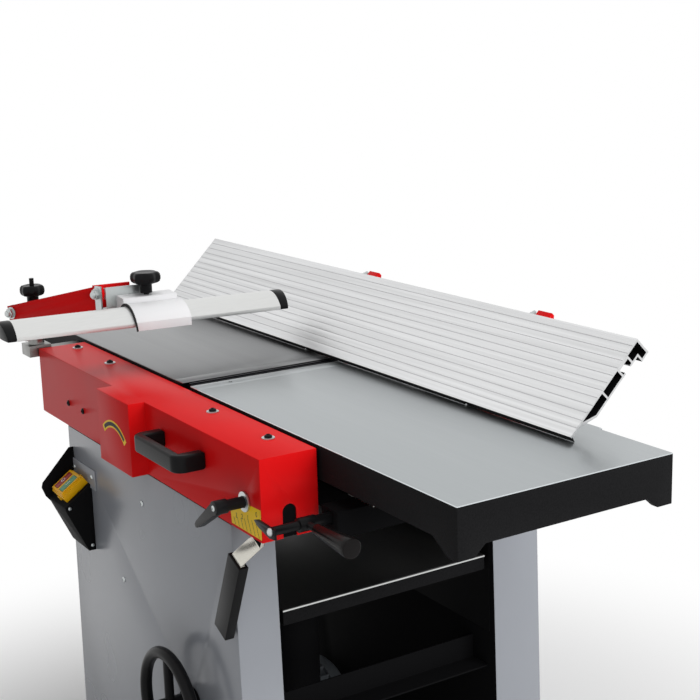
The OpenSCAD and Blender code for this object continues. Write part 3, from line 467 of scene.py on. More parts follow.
class Look(Enum):
    """Every finish on the machine."""

    RED = Paint(
        "red_powder_coat", "cover_red", (0.66, 0.006, 0.007), 0.36, gloss=0.05, coat=0.01)
    GREY = Paint("light_grey_coat", "cabinet_paint", (0.29, 0.305, 0.335), 0.26, gloss=0.42)
    BLACK_PAINT = Paint(
        "black_powder_coat", "black_paint", (0.005, 0.005, 0.0055), 0.6, gloss=0.05)
    # Near-black frame paint; on the frames' tops and tunnel walls, the slot plate and the lock
    # head it is painted shade.
    DARK = Paint("dark_frame_paint", "frame_dark", (0.006, 0.006, 0.0065), 0.7, gloss=0.02)
    MOTOR = Paint("motor_grey_paint", "motor_paint", (0.10, 0.11, 0.12), 0.5, gloss=0.2)
    # Both tables are one ground iron: the outfeed tone is painted shade, the infeed tone painted
    # light.
    SHADED_OUTFEED_IRON = GroundIron(
        "outfeed_iron_painted_shade", "table_iron", (0.25, 0.255, 0.26), 0.36, gloss=0.06)
    # The infeed's edge tint is a painted highlight on its rim.
    LIT_INFEED_IRON = GroundIron(
        "infeed_iron_painted_light", "table_iron", (0.43, 0.455, 0.465), 0.33, gloss=0.06, edge=1.6)
    # Thicknessing table iron darkened: painted shade for the dark tunnel over it.
    SHADED_BED_IRON = GroundIron(
        "thicknessing_iron_painted_shade", "table_iron", (0.11, 0.11, 0.11), 0.42, gloss=0.04,
        level=TABLE_H - 262.4, rim=0.0)
    # Light steel used only for the strips on the bed's ends, a painted highlight.
    BED_HIGHLIGHT = Metal("painted_highlight_steel", "ground_steel", (0.62, 0.63, 0.62), 0.30, lines=(700.0, 6.0, 700.0))
    FENCE = Metal(
        "anodised_fence", "fence_alu", (0.78, 0.785, 0.79), 0.5, spread=0.14,
        lines=(2.0, 170.0, 170.0), streak=(0.74, 1.16))
    GROOVE = Metal(
        "fence_groove_shade", "fence_alu", (0.58, 0.58, 0.59), 0.5, lines=(4.0, 900.0, 900.0))
    GUARD = Metal(
        "anodised_guard", "guard_alu", (0.74, 0.745, 0.735), 0.46, lines=(900.0, 6.0, 900.0))
    SADDLE = Paint("white_saddle_coat", "guard_alu", (0.75, 0.75, 0.76), 0.38, gloss=0.2)
    STEEL = Metal("turned_steel", "steel", (0.27, 0.27, 0.26), 0.34)
    BLUED = Metal("blued_cutter_steel", "steel", (0.035, 0.035, 0.04), 0.42)
    ZINC = Metal(
        "zinc_plate", "zinc", (0.52, 0.55, 0.55), 0.38, spread=0.1, lines=(60.0, 60.0, 60.0))
    NICKEL = Metal("nickel_bar", "zinc", (0.62, 0.60, 0.54), 0.24, lines=(60.0, 60.0, 20.0))
    KNOB = Plastic(
        "black_moulded_plastic", "knob_plastic", (0.006, 0.006, 0.0065), 0.32, gloss=0.1)
    GRIP = Plastic(
        "dark_grip_plastic", "knob_plastic", (0.007, 0.006, 0.006), 0.24, gloss=0.1, relief=0.05)
    RUBBER = Plastic("belt_rubber", "belt_rubber", (0.012, 0.012, 0.012), 0.7, gloss=0.2)
    YELLOW = Plastic(
        "yellow_switch_plastic", "switch_yellow", (1.0, 0.50, 0.003), 0.34, gloss=0.2, relief=0.06)
    STOP = Plastic(
        "red_pad_plastic", "button_red", (0.30, 0.012, 0.014), 0.32, gloss=0.3, relief=0.05)
    START = Plastic(
        "green_pad_plastic", "button_green", (0.09, 0.34, 0.18), 0.32, gloss=0.3, relief=0.05)
    LABEL = Plastic(
        "yellow_label_film", "switch_yellow", (1.0, 0.62, 0.003), 0.36, gloss=0.1, relief=0.02)
    INK = Plastic(
        "black_label_ink", "knob_plastic", (0.006, 0.006, 0.006), 0.5, gloss=0.15, relief=0.02)
    MARK = Plastic("white_pad_print", "guard_alu", (0.75, 0.75, 0.74), 0.5, relief=0.02)


Soft = Tuple[str, float, Look]


class Palette:
    """Holds one material per finish."""

    def __init__(self) -> None:
        """Builds the shared effects."""
        self.effects = Effects()
        self.made: Dict[Look, bpy.types.Material] = {}

    def get(self, look: Look) -> bpy.types.Material:
        """Material of a finish, built when first asked for.

        Args:
            look: the finish.

        Returns:
            The material.
        """
        if look not in self.made:
            self.made[look] = look.value.material(self.effects)
        return self.made[look]


def spun(shape: Shape, geom: Sequence[object], angle: float, steps: int, merge: bool) -> Shape:
    """Spins part of a shape about Z and closes the result.

    Args:
        shape: the shape.
        geom: its vertices, edges and faces to spin.
        angle: sweep in radians.
        steps: number of steps.
        merge: whether the spin joins its last step to the first.

    Returns:
        The same shape.
    """
    bmesh.ops.spin(
        shape, geom=geom, cent=ORIGIN, axis=UP, angle=angle, steps=steps, use_merge=merge,
        use_duplicate=False,
    )
    bmesh.ops.remove_doubles(shape, verts=shape.verts, dist=JOIN_GAP)
    bmesh.ops.recalc_face_normals(shape, faces=shape.faces)
    return shape


def turned(profile: Sequence[Point], steps: int = 28) -> Shape:
    """Shape turned about Z from a profile.

    Args:
        profile: radius and height pairs.
        steps: number of steps round the axis.

    Returns:
        The shape.
    """
    shape = bmesh.new()
    verts = [shape.verts.new((r * MM, 0.0, z * MM)) for r, z in profile]
    edges = [shape.edges.new(pair) for pair in zip(verts, verts[1:])]
    return spun(shape, verts + edges, FULL_TURN, steps, True)


def band(inner: float, outer: float, start: float, sweep: float, thick: float) -> Shape:
    """Flat curved band about Z, standing on z = 0.

    Args:
        inner: inner radius.
        outer: outer radius.
        start: start angle in degrees from X.
        sweep: sweep in degrees.
        thick: thickness.

    Returns:
        The shape.
    """
    shape = bmesh.new()
    corners = ((inner, 0.0), (outer, 0.0), (outer, thick), (inner, thick))
    rim = [shape.verts.new((r * MM, 0.0, z * MM)) for r, z in corners]
    first = shape.faces.new(rim)
    turn = Matrix.Rotation(math.radians(start), 3, "Z")
    bmesh.ops.rotate(shape, verts=rim, cent=ORIGIN, matrix=turn)
    return spun(shape, [first, *first.edges, *rim], math.radians(sweep), BAND_STEPS, False)


def plate(outline: Sequence[Point], thick: float) -> Shape:
    """Flat plate with an outline in X and Y, standing on z = 0.

    Args:
        outline: corner points.
        thick: thickness.

    Returns:
        The shape.
    """
    shape = bmesh.new()
    face = shape.faces.new([shape.verts.new((x * MM, y * MM, 0.0)) for x, y in outline])
    grown = bmesh.ops.extrude_face_region(shape, geom=[face])
    moved = [item for item in grown["geom"] if isinstance(item, bmesh.types.BMVert)]
    bmesh.ops.translate(shape, verts=moved, vec=(0.0, 0.0, thick * MM))
    bmesh.ops.recalc_face_normals(shape, faces=shape.faces)
    return shape


def slab(x0: float, x1: float, y0: float, y1: float, thick: float) -> Shape:
    """Rectangular plate between two limits in X and two in Y."""
    return plate([(x0, y0), (x1, y0), (x1, y1), (x0, y1)], thick)


def joined(shapes: Sequence[Shape]) -> Shape:
    """Puts several shapes into one.

    Args:
        shapes: shapes to join; they are freed.

    Returns:
        One shape with all of them.
    """
    whole = bmesh.new()
    for shape in shapes:
        mesh = bpy.data.meshes.new("join")
        shape.to_mesh(mesh)
        shape.free()
        whole.from_mesh(mesh)
        bpy.data.meshes.remove(mesh)
    return whole


def lettered(text: str, height: float) -> Shape:
    """Flat figure of a number, centred on the origin.

    Args:
        text: the number.
        height: its height.

    Returns:
        The shape.
    """
    curve = bpy.data.curves.new("figure", "FONT")
    curve.body = text
    curve.size = height * MM * FIGURE_FONT
    curve.align_x = "CENTER"
    curve.align_y = "CENTER"
    curve.extrude = FIGURE_HALF * MM
    holder = bpy.data.objects.new("figure", curve)
    bpy.context.scene.collection.objects.link(holder)
    bpy.context.view_layer.update()
    solved = holder.evaluated_get(bpy.context.evaluated_depsgraph_get())
    mesh = bpy.data.meshes.new_from_object(solved)
    shape = bmesh.new()
    shape.from_mesh(mesh)
    bpy.data.objects.remove(holder)
    bpy.data.curves.remove(curve)
    bpy.data.meshes.remove(mesh)
    return shape


@dataclass(frozen=True)
class Seat:
    """Name, body and place of a small part, whose Z follows the normal and whose Y leans to up."""

    name: str
    body: Body
    at: Vector
    normal: Sequence[float] = FRONT
    up: Sequence[float] = UP

    def matrix(self) -> Matrix:
        """Turn and shift that bring a shape from the origin to the seat.

        Returns:
            The change as a matrix.
        """
        out = Vector(self.normal).normalized()
        side = Vector(self.up).cross(out)
        if side.length < PARALLEL:
            side = Vector(RIGHT)
        side.normalize()
        turn = Matrix((side, out.cross(side), out)).transposed().to_4x4()
        return Matrix.Translation(self.at) @ turn


@dataclass
class Shop:
    """Makes finished objects out of bmesh shapes."""

    nodes: Dict[str, bpy.types.Object]
    palette: Palette

    def finish(
        self, shape: Shape, name: str, looks: Sequence[Look], body: str, sharp: float,
    ) -> bpy.types.Object:
        """Turns a shape into a riding object with smooth shading.

        Args:
            shape: the shape, in place.
            name: object name.
            looks: finishes in the order of the faces' material numbers.
            body: body that the object rides on.
            sharp: angle in radians from which an edge stays sharp.

        Returns:
            The object.
        """
        for face in shape.faces:
            face.smooth = True
        for edge in shape.edges:
            edge.smooth = len(edge.link_faces) != 2 or edge.calc_face_angle(0.0) < sharp
        mesh = bpy.data.meshes.new(name)
        shape.to_mesh(mesh)
        shape.free()
        for look in looks:
            mesh.materials.append(self.palette.get(look))
        made = bpy.data.objects.new(name, mesh)
        bpy.context.scene.collection.objects.link(made)
        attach(made, body)
        LOG.info("%s rides on %s", name, body)
        return made

    def add(self, shape: Shape, seat: Seat, look: Look) -> None:
        """Puts a small part in its place.

        Args:
            shape: the shape, about the origin.
            seat: where it goes.
            look: the finish.
        """
        bmesh.ops.transform(shape, matrix=seat.matrix(), verts=shape.verts)
        self.finish(shape, seat.name, [look], seat.body.value, PART_SHARP)

    def stand_in(self, shape: Shape, node: str, looks: Sequence[Look]) -> None:
        """Lets a shape stand for a solid.

        Args:
            shape: the shape, in place.
            node: name of the solid.
            looks: finishes in the order of the faces' material numbers.
        """
        body = self.nodes[node]["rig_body"]
        piece = self.finish(shape, node + "_piece", looks, body, PIECE_SHARP)
        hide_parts(node)

    def dress(self, node: str, look: Look) -> None:
        """Gives a solid a finish.

        Args:
            node: name of the solid.
            look: the finish.
        """
        slots = self.nodes[node].data.materials
        slots.clear()
        slots.append(self.palette.get(look))

    def soften(
        self, node: str, width: float, looks: Sequence[Look], pick: Optional[Pick] = None,
        segments: int = 2, seam: float = 0.0, reshape: Optional[Matrix] = None,
    ) -> None:
        """Replaces a solid with a copy whose sharp edges are rounded.

        Args:
            node: name of the solid.
            width: width of the rounding.
            looks: finishes.
            pick: gives the finish number of a face from its middle and its normal.
            segments: segments of the rounding.
            seam: edges nearer to the cutter's plane than this stay sharp.
            reshape: change of place and size made last.
        """
        shape = bmesh.new()
        shape.from_mesh(self.nodes[node].data)
        bmesh.ops.remove_doubles(shape, verts=shape.verts, dist=SOLID_GAP)
        bmesh.ops.dissolve_limit(
            shape, angle_limit=FLAT_ANGLE, verts=shape.verts, edges=shape.edges,
        )
        for face in shape.faces:
            middle = face.calc_center_median() / MM - Vector((0.0, 0.0, TABLE_H))
            face.material_index = pick(middle, face.normal) if pick else 0
        edges = [
            edge for edge in shape.edges
            if len(edge.link_faces) == 2 and edge.calc_face_angle(0.0) > EDGE_ANGLE
            and abs(edge.verts[0].co.x + edge.verts[1].co.x) >= 2.0 * seam * MM
        ]
        bmesh.ops.bevel(
            shape, geom=edges, offset=width * MM, offset_type="OFFSET", affect="EDGES",
            segments=segments, profile=0.5, material=-1, clamp_overlap=True,
        )
        if reshape:
            bmesh.ops.transform(shape, matrix=reshape, verts=shape.verts)
        self.stand_in(shape, node, looks)

    def soften_all(self, rows: Sequence[Soft]) -> None:
        """Rounds the edges of several solids that have one finish each."""
        for node, width, look in rows:
            self.soften(node, width, [look])


@dataclass
class StarKnob:
    """Moulded star knob with soft lobes and a rounded rim, in place of a plain solid.

    The rim's points are shares of the radius and heights above the head's underside.
    """

    shop: Shop
    node: str
    stud_up: float = 0.0
    stud: float = 4.0
    neck: float = 10.0
    neck_h: float = 16.0
    flare: float = 2.5
    head: float = 18.0
    hollow: float = 0.8
    rim: Sequence[Point] = (
        (0.80, 0.2), (0.93, 2.2), (1.0, 6.5), (1.0, 11.0), (0.96, 14.6), (0.86, 17.2),
        (0.72, 18.0), (0.55, 17.4),
    )
    lobes: int = 6
    dip: float = 0.15
    steps: int = 72

    def build(self) -> None:
        """Turns the knob and presses its lobes in."""
        low, high = (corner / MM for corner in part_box(self.node))
        radius, tall = (high.x - low.x) / 2.0, high.z - low.z
        reach = tall - self.stud_up
        under, top = reach - self.head, reach - self.hollow
        waist = under - self.neck_h
        profile = [(0.0, 0.0), (self.stud, 0.0), (self.stud, waist), (self.neck, waist)]
        profile += [(self.neck, under - self.flare), (self.neck + self.flare, under)]
        profile += [(radius * share, under + rise) for share, rise in self.rim]
        if self.stud_up:
            profile += [(self.stud, top), (self.stud, tall), (0.0, tall)]
        else:
            profile.append((0.0, top))
        shape = turned(profile, self.steps)
        for vert in shape.verts:
            fade = min(1.0, max(0.0, vert.co.xy.length / MM / radius * 2.0 - 1.0))
            wave = 0.5 - 0.5 * math.cos(self.lobes * math.atan2(vert.co.y, vert.co.x))
            vert.co.xy *= 1.0 - self.dip * fade * wave
        foot = Vector((low.x + high.x, low.y + high.y, 2.0 * low.z)) * (MM / 2.0)
        bmesh.ops.translate(shape, verts=shape.verts, vec=foot)
        self.shop.stand_in(shape, self.node, [Look.KNOB])


@dataclass
class Fasteners:
    """Screws, washers and nuts.

    Profile points are shares of the radius and of the height, but the cap's rises are lengths.
    """

    shop: Shop
    chamfer: float = 0.25
    wall: float = 0.35
    crown: Sequence[float] = (0.0, 0.35, 0.7, 1.0)
    socket: Sequence[Point] = ((0.42, 1.0), (0.42, 0.45), (0.0, 0.4))
    blank: Sequence[Point] = ((0.25, 1.0), (0.0, 1.0))
    nut_washer: Point = (1.25, 1.4)
    nut_top: Point = (0.88, 0.8)
    cap: Sequence[Point] = ((0.72, -0.2), (0.66, 2.5), (0.4, 4.4), (0.0, 5.0))

    def washer(self, seat: Seat, outer: float, hole: float, thick: float) -> None:
        """Flat plated washer with broken edges.

        Args:
            seat: its place.
            outer: outer radius.
            hole: hole radius.
            thick: thickness.
        """
        cut, side = self.chamfer, thick - self.chamfer
        profile = [(hole, 0.0), (outer, 0.0), (outer, side), (outer - cut, thick)]
        profile += [(hole + cut, thick), (hole, side), (hole, 0.0)]
        self.shop.add(turned(profile), seat, Look.ZINC)

    def dome(self, seat: Seat, head: Point, look: Look, hollow: bool = True) -> None:
        """Button-head screw, with a socket or plain.

        Args:
            seat: its place.
            head: radius and height of the head.
            look: the finish.
            hollow: whether the head has a socket.
        """
        radius, tall = head
        arc = [
            (math.cos(angle), self.wall + (1.0 - self.wall) * math.sin(angle))
            for angle in self.crown
        ]
        shares = [(0.0, 0.0), (1.0, 0.0), *arc, *(self.socket if hollow else self.blank)]
        self.shop.add(turned([(radius * r, tall * z) for r, z in shares]), seat, look)

    def nut(self, seat: Seat, radius: float, tall: float) -> None:
        """Hexagon cap nut on its washer.

        Args:
            seat: its place.
            radius: corner radius.
            tall: height of the hexagon.
        """
        wide, base = radius * self.nut_washer[0], self.nut_washer[1]
        washer = turned([(0.0, 0.0), (wide, 0.0), (wide, base), (0.0, base)])
        narrow, side = radius * self.nut_top[0], tall - self.nut_top[1]
        profile = [(0.0, base), (radius, base), (radius, side), (narrow, tall), (0.0, tall)]
        cap = turned([(radius * share, tall + rise) for share, rise in self.cap])
        self.shop.add(joined([washer, turned(profile, HEX_SIDES), cap]), seat, Look.ZINC)


@dataclass
class Cabinet:
    """Frames, drive and thicknesser."""

    shop: Shop
    frame_edge: float = 2.0
    soft: Sequence[Soft] = (
        ("plinth", 0.8, Look.DARK),
        ("cross_members", 0.8, Look.DARK),
        ("bearing_housings", 1.5, Look.DARK),
        ("hinge_brackets", 1.2, Look.DARK),
        ("column_base", 1.2, Look.DARK),
        ("motor", 0.7, Look.MOTOR),
        ("motor_mount", 0.8, Look.DARK),
        ("belt_cover", 0.8, Look.BLACK_PAINT),
        ("wheel_boss", 1.0, Look.DARK),
        ("handwheel", 1.0, Look.KNOB),
        ("wheel_grip", 1.6, Look.KNOB),
        ("roller_blocks", 0.8, Look.DARK),
        ("thickness_table", 1.2, Look.SHADED_BED_IRON),
    )
    plain: Sequence[Tuple[str, Look]] = (
        # The black liner also stands in for the deep shade in the tunnel, as painted shade.
        ("tunnel_liner", Look.BLACK_PAINT),
        ("cutter_bearings", Look.STEEL),
        ("kickback_rod", Look.STEEL),
        ("hinge_pins", Look.STEEL),
        ("rest_pads", Look.STEEL),
        ("drive_belt", Look.RUBBER),
        ("cutterblock", Look.BLUED),
        ("planer_knives", Look.BLUED),
        ("cutter_pulley", Look.STEEL),
        ("motor_pulley", Look.STEEL),
        ("infeed_roller", Look.STEEL),
        ("outfeed_roller", Look.STEEL),
        ("kickback_fingers", Look.STEEL),
        ("lift_column", Look.STEEL),
    )
    front: float = -250.0
    frame_top: float = -118.0
    tunnel: float = 185.0
    top_skin: float = 1.5
    wall_skin: float = 3.0
    bed: Triple = (295.0, 175.0, -260.0)
    # Section of the painted highlight strips along the bed's ends.
    bed_highlight: Triple = (-3.4, -1.3, 0.3)
    screws: Sequence[Point] = ((1.0, -172.3), (-93.4, -327.0))
    screw_head: Point = (4.6, 2.2)

    def _shaded_part(self, p: Vector, normal: Vector) -> int:
        """Grey outside, or painted shade: the dark top and tunnel wall of a frame box."""
        on_top = p.z > self.frame_top - self.top_skin and normal.z > UPWARD
        return int(on_top or abs(p.y) < self.tunnel + self.wall_skin)

    def build(self) -> None:
        """Dresses the frames and what they carry, and adds screws and painted highlight strips on
        the bed.
        """
        for node in ("front_frame", "rear_frame"):
            self.shop.soften(node, self.frame_edge, [Look.GREY, Look.DARK], self._shaded_part)
        self.shop.soften_all(self.soft)
        for node, look in self.plain:
            self.shop.dress(node, look)
        x, y, z = self.bed
        # Light strips on the bed's two ends stand in for the highlight on its edges.
        for name, end in (("bed_highlight_in", 1.0), ("bed_highlight_out", -1.0)):
            seat = Seat(name, Body.BED, spot(end * x, 0.0, z), (end, 0.0, 0.0))
            self.shop.add(slab(-y, y, *self.bed_highlight), seat, Look.BED_HIGHLIGHT)
        screws = Fasteners(self.shop)
        for k, (x, z) in enumerate(self.screws):
            seat = Seat(f"cabinet_screw_{k}", Body.BASE, spot(x, self.front, z))
            screws.dome(seat, self.screw_head, Look.ZINC)


@dataclass
class Switch:
    """Switch box on its wedge bracket, shown smaller than its solid.

    The slope is in radians. Heights of the pocket are counted from the solid's face.
    """

    shop: Shop
    slope: float = math.atan2(34.0, 48.0)
    bracket_edge: float = 0.6
    front: float = -250.0
    top: float = -196.0
    box_x: float = -241.5
    box_d: float = 52.0
    box_h: float = 24.0
    box_gap: float = 4.0
    box_edge: float = 1.6
    size: Triple = (0.9, 0.9, 0.66)
    shift: float = 4.0
    pocket: Point = (22.4, 20.4)
    pocket_z: Triple = (-13.0, -11.0, -1.0)
    pad_pitch: float = 12.0
    pad_up: float = 4.5
    pad_size: Triple = (0.84, 0.92, 0.5)
    pad_edge: float = 1.0
    rim_x: Triple = (2.4, 18.9, 21.5)
    rim_y: Point = (17.0, 20.5)
    rim_sunk: float = 0.2
    rim_below: float = 0.3
    lug: Sequence[Point] = (
        (0.0, 0.0), (4.2, 0.0), (4.2, 8.0), (3.4, 9.0), (2.2, 9.0), (2.0, 8.2), (0.0, 8.2),
    )
    lug_in: float = 2.4
    ring: Point = (3.0, 4.2)
    dash: Point = (0.9, 4.6)
    print_h: float = 0.25
    tab_down: float = 4.0
    tab_t: float = 2.6
    tab_y: float = -252.0
    tab_screws: Sequence[Point] = ((-275.3, -184.3), (-199.3, -183.3))
    tab_head: Point = (4.2, 2.4)
    side_screws: Sequence[Triple] = ((-208.0, -290.0, -232.5), (-208.0, -255.5, -303.0))
    side_head: Point = (3.0, 1.8)

    def _tab_part(self, p: Vector, normal: Vector) -> int:
        """Black wedge or grey fixing tab of the bracket."""
        flat = p.y > self.front - self.tab_t and normal.y < FACING
        return int(flat and p.z > self.top - self.tab_down)

    def _pocket_part(self, p: Vector, normal: Vector) -> int:
        """Tells the dark pad pocket of the box from its yellow shell.

        Args:
            p: middle of a face.
            normal: its normal.

        Returns:
            1 in the pocket and 0 elsewhere.
        """
        c, s = math.cos(self.slope), math.sin(self.slope)
        y, z = p.y - self.front, p.z - self.top
        run, rise = y * c + z * s + self.box_d / 2 + self.box_gap, z * c - y * s - self.box_h
        low, ledge, high = self.pocket_z
        inside = abs(p.x - self.box_x) < self.pocket[0] and abs(run) < self.pocket[1]
        return int(inside and low < rise < high and (abs(normal.z) < FACING or rise < ledge))

    def about(self, at: Vector, factors: Sequence[float]) -> Matrix:
        """Change of size along the plate's axes about a point.

        Args:
            at: the point that stays, in metres.
            factors: factors sideways, up the slope and off the plate.

        Returns:
            The change as a matrix.
        """
        turn = Matrix.Rotation(self.slope, 4, "X")
        change = turn @ Matrix.Diagonal((*factors, 1.0)) @ turn.inverted()
        return Matrix.Translation(at) @ change @ Matrix.Translation(-at)

    def on_plate(self, x: float, y: float, z: float) -> Vector:
        """Point on the sloping plate, counted from the box's middle line.

        Args:
            x: sideways.
            y: up the slope.
            z: off the plate.

        Returns:
            The place in metres.
        """
        c, s = math.cos(self.slope), math.sin(self.slope)
        return spot(self.box_x + x, self.front + y * c - z * s, self.top + y * s + z * c)

    def seat(self, name: str, body: Body, at: Vector) -> Seat:
        """Seat of a small part that stands off the sloping plate."""
        c, s = math.cos(self.slope), math.sin(self.slope)
        return Seat(name, body, at, (0.0, -s, c), (0.0, c, s))

    def _rim(self, thick: float) -> Shape:
        """Seven bars that frame the two pads.

        Args:
            thick: thickness of the bars.

        Returns:
            The shape, about the box's middle.
        """
        rib, inner, outer = self.rim_x
        low, high = self.rim_y
        uprights = ((-outer, -inner), (-rib, rib), (inner, outer))
        bars = [slab(x0, x1, -high, high, thick) for x0, x1 in uprights]
        for x0, x1 in ((-inner, -rib), (rib, inner)):
            bars += [slab(x0, x1, y0, y1, thick) for y0, y1 in ((low, high), (-high, -low))]
        return joined(bars)

    def build(self) -> None:
        """Dresses the switch and adds its rim, lugs, marks and screws."""
        shop = self.shop
        looks = [Look.BLACK_PAINT, Look.GREY]
        shop.soften("switch_bracket", self.bracket_edge, looks, self._tab_part)
        wide, deep, tall = self.size
        top, face = self.box_h * tall, (self.box_h + self.pad_up) * tall
        solid = -self.box_d / 2 - self.box_gap
        middle, pitch = solid + self.shift, self.pad_pitch * wide
        up = Vector((0.0, math.cos(self.slope), math.sin(self.slope)))
        small = self.about(self.on_plate(0.0, solid, 0.0), self.size)
        small = Matrix.Translation(up * (self.shift * MM)) @ small
        looks = [Look.YELLOW, Look.INK]
        shop.soften("switch_box", self.box_edge, looks, self._pocket_part, 3, reshape=small)
        stop, start = (self.on_plate(side * pitch, middle, face) for side in (-1.0, 1.0))
        pads = (("stop_button", stop, Look.STOP), ("start_button", start, Look.START))
        for node, at, look in pads:
            change = self.about(at, self.pad_size) @ small
            shop.soften(node, self.pad_edge, [look], segments=3, reshape=change)
        place = self.on_plate(0.0, middle, top - self.rim_sunk)
        rim = self._rim(face - top - self.rim_below)
        shop.add(rim, self.seat("switch_rim", Body.BASE, place), Look.YELLOW)
        for k, side in enumerate((-0.5, 0.5)):
            place = self.on_plate(0.0, middle + side * (self.box_d * deep - self.lug_in), 0.0)
            seat = self.seat(f"switch_lug_{k}", Body.BASE, place)
            shop.add(turned(self.lug), seat, Look.YELLOW)
        ring = band(*self.ring, 0.0, 360.0, self.print_h)
        shop.add(ring, self.seat("stop_mark", Body.STOP, stop), Look.MARK)
        x, y = self.dash
        bar = slab(-x, x, -y, y, self.print_h)
        shop.add(bar, self.seat("start_mark", Body.START, start), Look.MARK)
        screws = Fasteners(shop)
        for k, (x, z) in enumerate(self.tab_screws):
            seat = Seat(f"tab_screw_{k}", Body.BASE, spot(x, self.tab_y, z))
            screws.dome(seat, self.tab_head, Look.ZINC)
        for k, place in enumerate(self.side_screws):
            seat = Seat(f"side_screw_{k}", Body.BASE, spot(*place), RIGHT)
            screws.dome(seat, self.side_head, Look.ZINC)


@dataclass
class Tables:
    """Planing tables, their carriers and lips."""

    shop: Shop
    seam: float = 48.0
    tops: Sequence[Soft] = (
        ("infeed_table", 1.1, Look.LIT_INFEED_IRON),
        ("outfeed_table", 1.0, Look.SHADED_OUTFEED_IRON),
    )
    soft: Sequence[Soft] = (
        ("infeed_lip", 0.2, Look.LIT_INFEED_IRON),
        ("outfeed_lip", 0.2, Look.SHADED_OUTFEED_IRON),
        ("infeed_carrier", 1.0, Look.DARK),
        ("outfeed_carrier", 1.0, Look.DARK),
        ("cover_rails", 1.0, Look.DARK),
    )
    screw: Triple = (27.0, -104.0, -0.4)
    screw_head: Point = (3.6, 0.6)

    def build(self) -> None:
        """Dresses the tables and adds the lip's screw."""
        for node, width, look in self.tops:
            self.shop.soften(node, width, [look], seam=self.seam)
        self.shop.soften_all(self.soft)
        self.shop.dress("infeed_ways", Look.STEEL)
        seat = Seat("lip_screw", Body.INFEED, spot(*self.screw), UP)
        Fasteners(self.shop).dome(seat, self.screw_head, Look.INK)


@dataclass
class FrontCover:
    """Red cover with its screws, label, sticker and handle."""

    shop: Shop
    edge: float = 1.5
    handle_edge: float = 4.0
    front: float = -253.0
    bump_front: float = -279.0
    top: float = -4.0
    screw_x: Sequence[float] = (-368.0, -224.0, 152.0, 315.0)
    screw_y: float = -197.0
    screw_head: Point = (5.4, 4.0)
    washer: Triple = (9.0, 3.0, 1.6)
    front_screws: Sequence[Point] = ((-278.0, -74.0), (-214.0, -74.0))
    front_head: Point = (4.8, 3.0)
    shade_plate: Quad = (-228.0, -196.0, -114.5, -62.0)
    shade_plate_x: float = 388.6
    shade_plate_t: float = 1.0
    label: Sequence[Point] = (
        (307.0, -95.0), (366.0, -72.0), (391.0, -71.0), (391.0, -111.0), (309.0, -111.0),
    )
    film: float = 0.15
    numbers: Sequence[Tuple[str, float, float]] = (
        ("3", 323.0, -97.0), ("2", 339.0, -94.0), ("1", 355.0, -91.0), ("0", 379.0, -80.0),
    )
    number_h: float = 7.0
    number_lift: float = 0.2
    line_count: int = 7
    line_start: Point = (315.0, -100.5)
    line_step: Point = (10.0, 1.9)
    line_low: float = -110.0
    line_lean: float = 0.42
    line_size: Point = (0.9, 0.08)
    arc_at: Point = (-22.0, -105.0)
    arc_r: float = 57.0
    arcs: Sequence[Tuple[str, float, float, float, Look]] = (
        ("bump_arc", 5.6, 40.0, 131.0, Look.LABEL),
        ("bump_arc_core", 3.0, 46.0, 126.0, Look.INK),
    )

    def build(self) -> None:
        """Dresses the cover and adds its small parts."""
        self.shop.soften("front_cover", self.edge, [Look.RED])
        self.shop.soften("lift_handle", self.handle_edge, [Look.KNOB], segments=4)
        screws = Fasteners(self.shop)
        for k, x in enumerate(self.screw_x):
            place = spot(x, self.screw_y, self.top)
            screws.washer(Seat(f"cover_washer_{k}", Body.TABLES, place, UP), *self.washer)
            place = spot(x, self.screw_y, self.top + self.washer[2])
            seat = Seat(f"cover_screw_{k}", Body.TABLES, place, UP)
            screws.dome(seat, self.screw_head, Look.KNOB)
        for k, (x, z) in enumerate(self.front_screws):
            seat = Seat(f"front_screw_{k}", Body.TABLES, spot(x, self.front, z))
            screws.dome(seat, self.front_head, Look.KNOB)
        # Dark plate inside the cover by the lock lever's slot: painted shade in the slot.
        seat = Seat("slot_shade_plate", Body.TABLES, spot(self.shade_plate_x, 0.0, 0.0), RIGHT)
        self.shop.add(slab(*self.shade_plate, self.shade_plate_t), seat, Look.DARK)
        self._label()
        self._sticker()

    def _label(self) -> None:
        """Depth label with its numbers and slanted lines."""
        seat = Seat("depth_label", Body.TABLES, spot(0.0, self.front, 0.0))
        self.shop.add(plate(self.label, self.film), seat, Look.LABEL)
        for text, x, z in self.numbers:
            place = spot(x, self.front - self.number_lift, z)
            seat = Seat("depth_number_" + text, Body.TABLES, place)
            self.shop.add(lettered(text, self.number_h), seat, Look.INK)
        wide, thick = self.line_size
        low = self.line_low
        lines: List[Shape] = []
        for k in range(self.line_count):
            x, top = (a + b * k for a, b in zip(self.line_start, self.line_step))
            end = x + (top - low) * self.line_lean
            lines.append(plate([(x, top), (x + wide, top), (end + wide, low), (end, low)], thick))
        seat = Seat("depth_lines", Body.TABLES, spot(0.0, self.front - self.film, 0.0))
        self.shop.add(joined(lines), seat, Look.INK)

    def _sticker(self) -> None:
        """Plain two-colour arc on the bump, one film on the other."""
        x, z = self.arc_at
        for k, (name, half, low, high, look) in enumerate(self.arcs):
            shape = band(self.arc_r - half, self.arc_r + half, low, high - low, self.film)
            seat = Seat(name, Body.TABLES, spot(x, self.bump_front - k * self.film, z))
            self.shop.add(shape, seat, look)


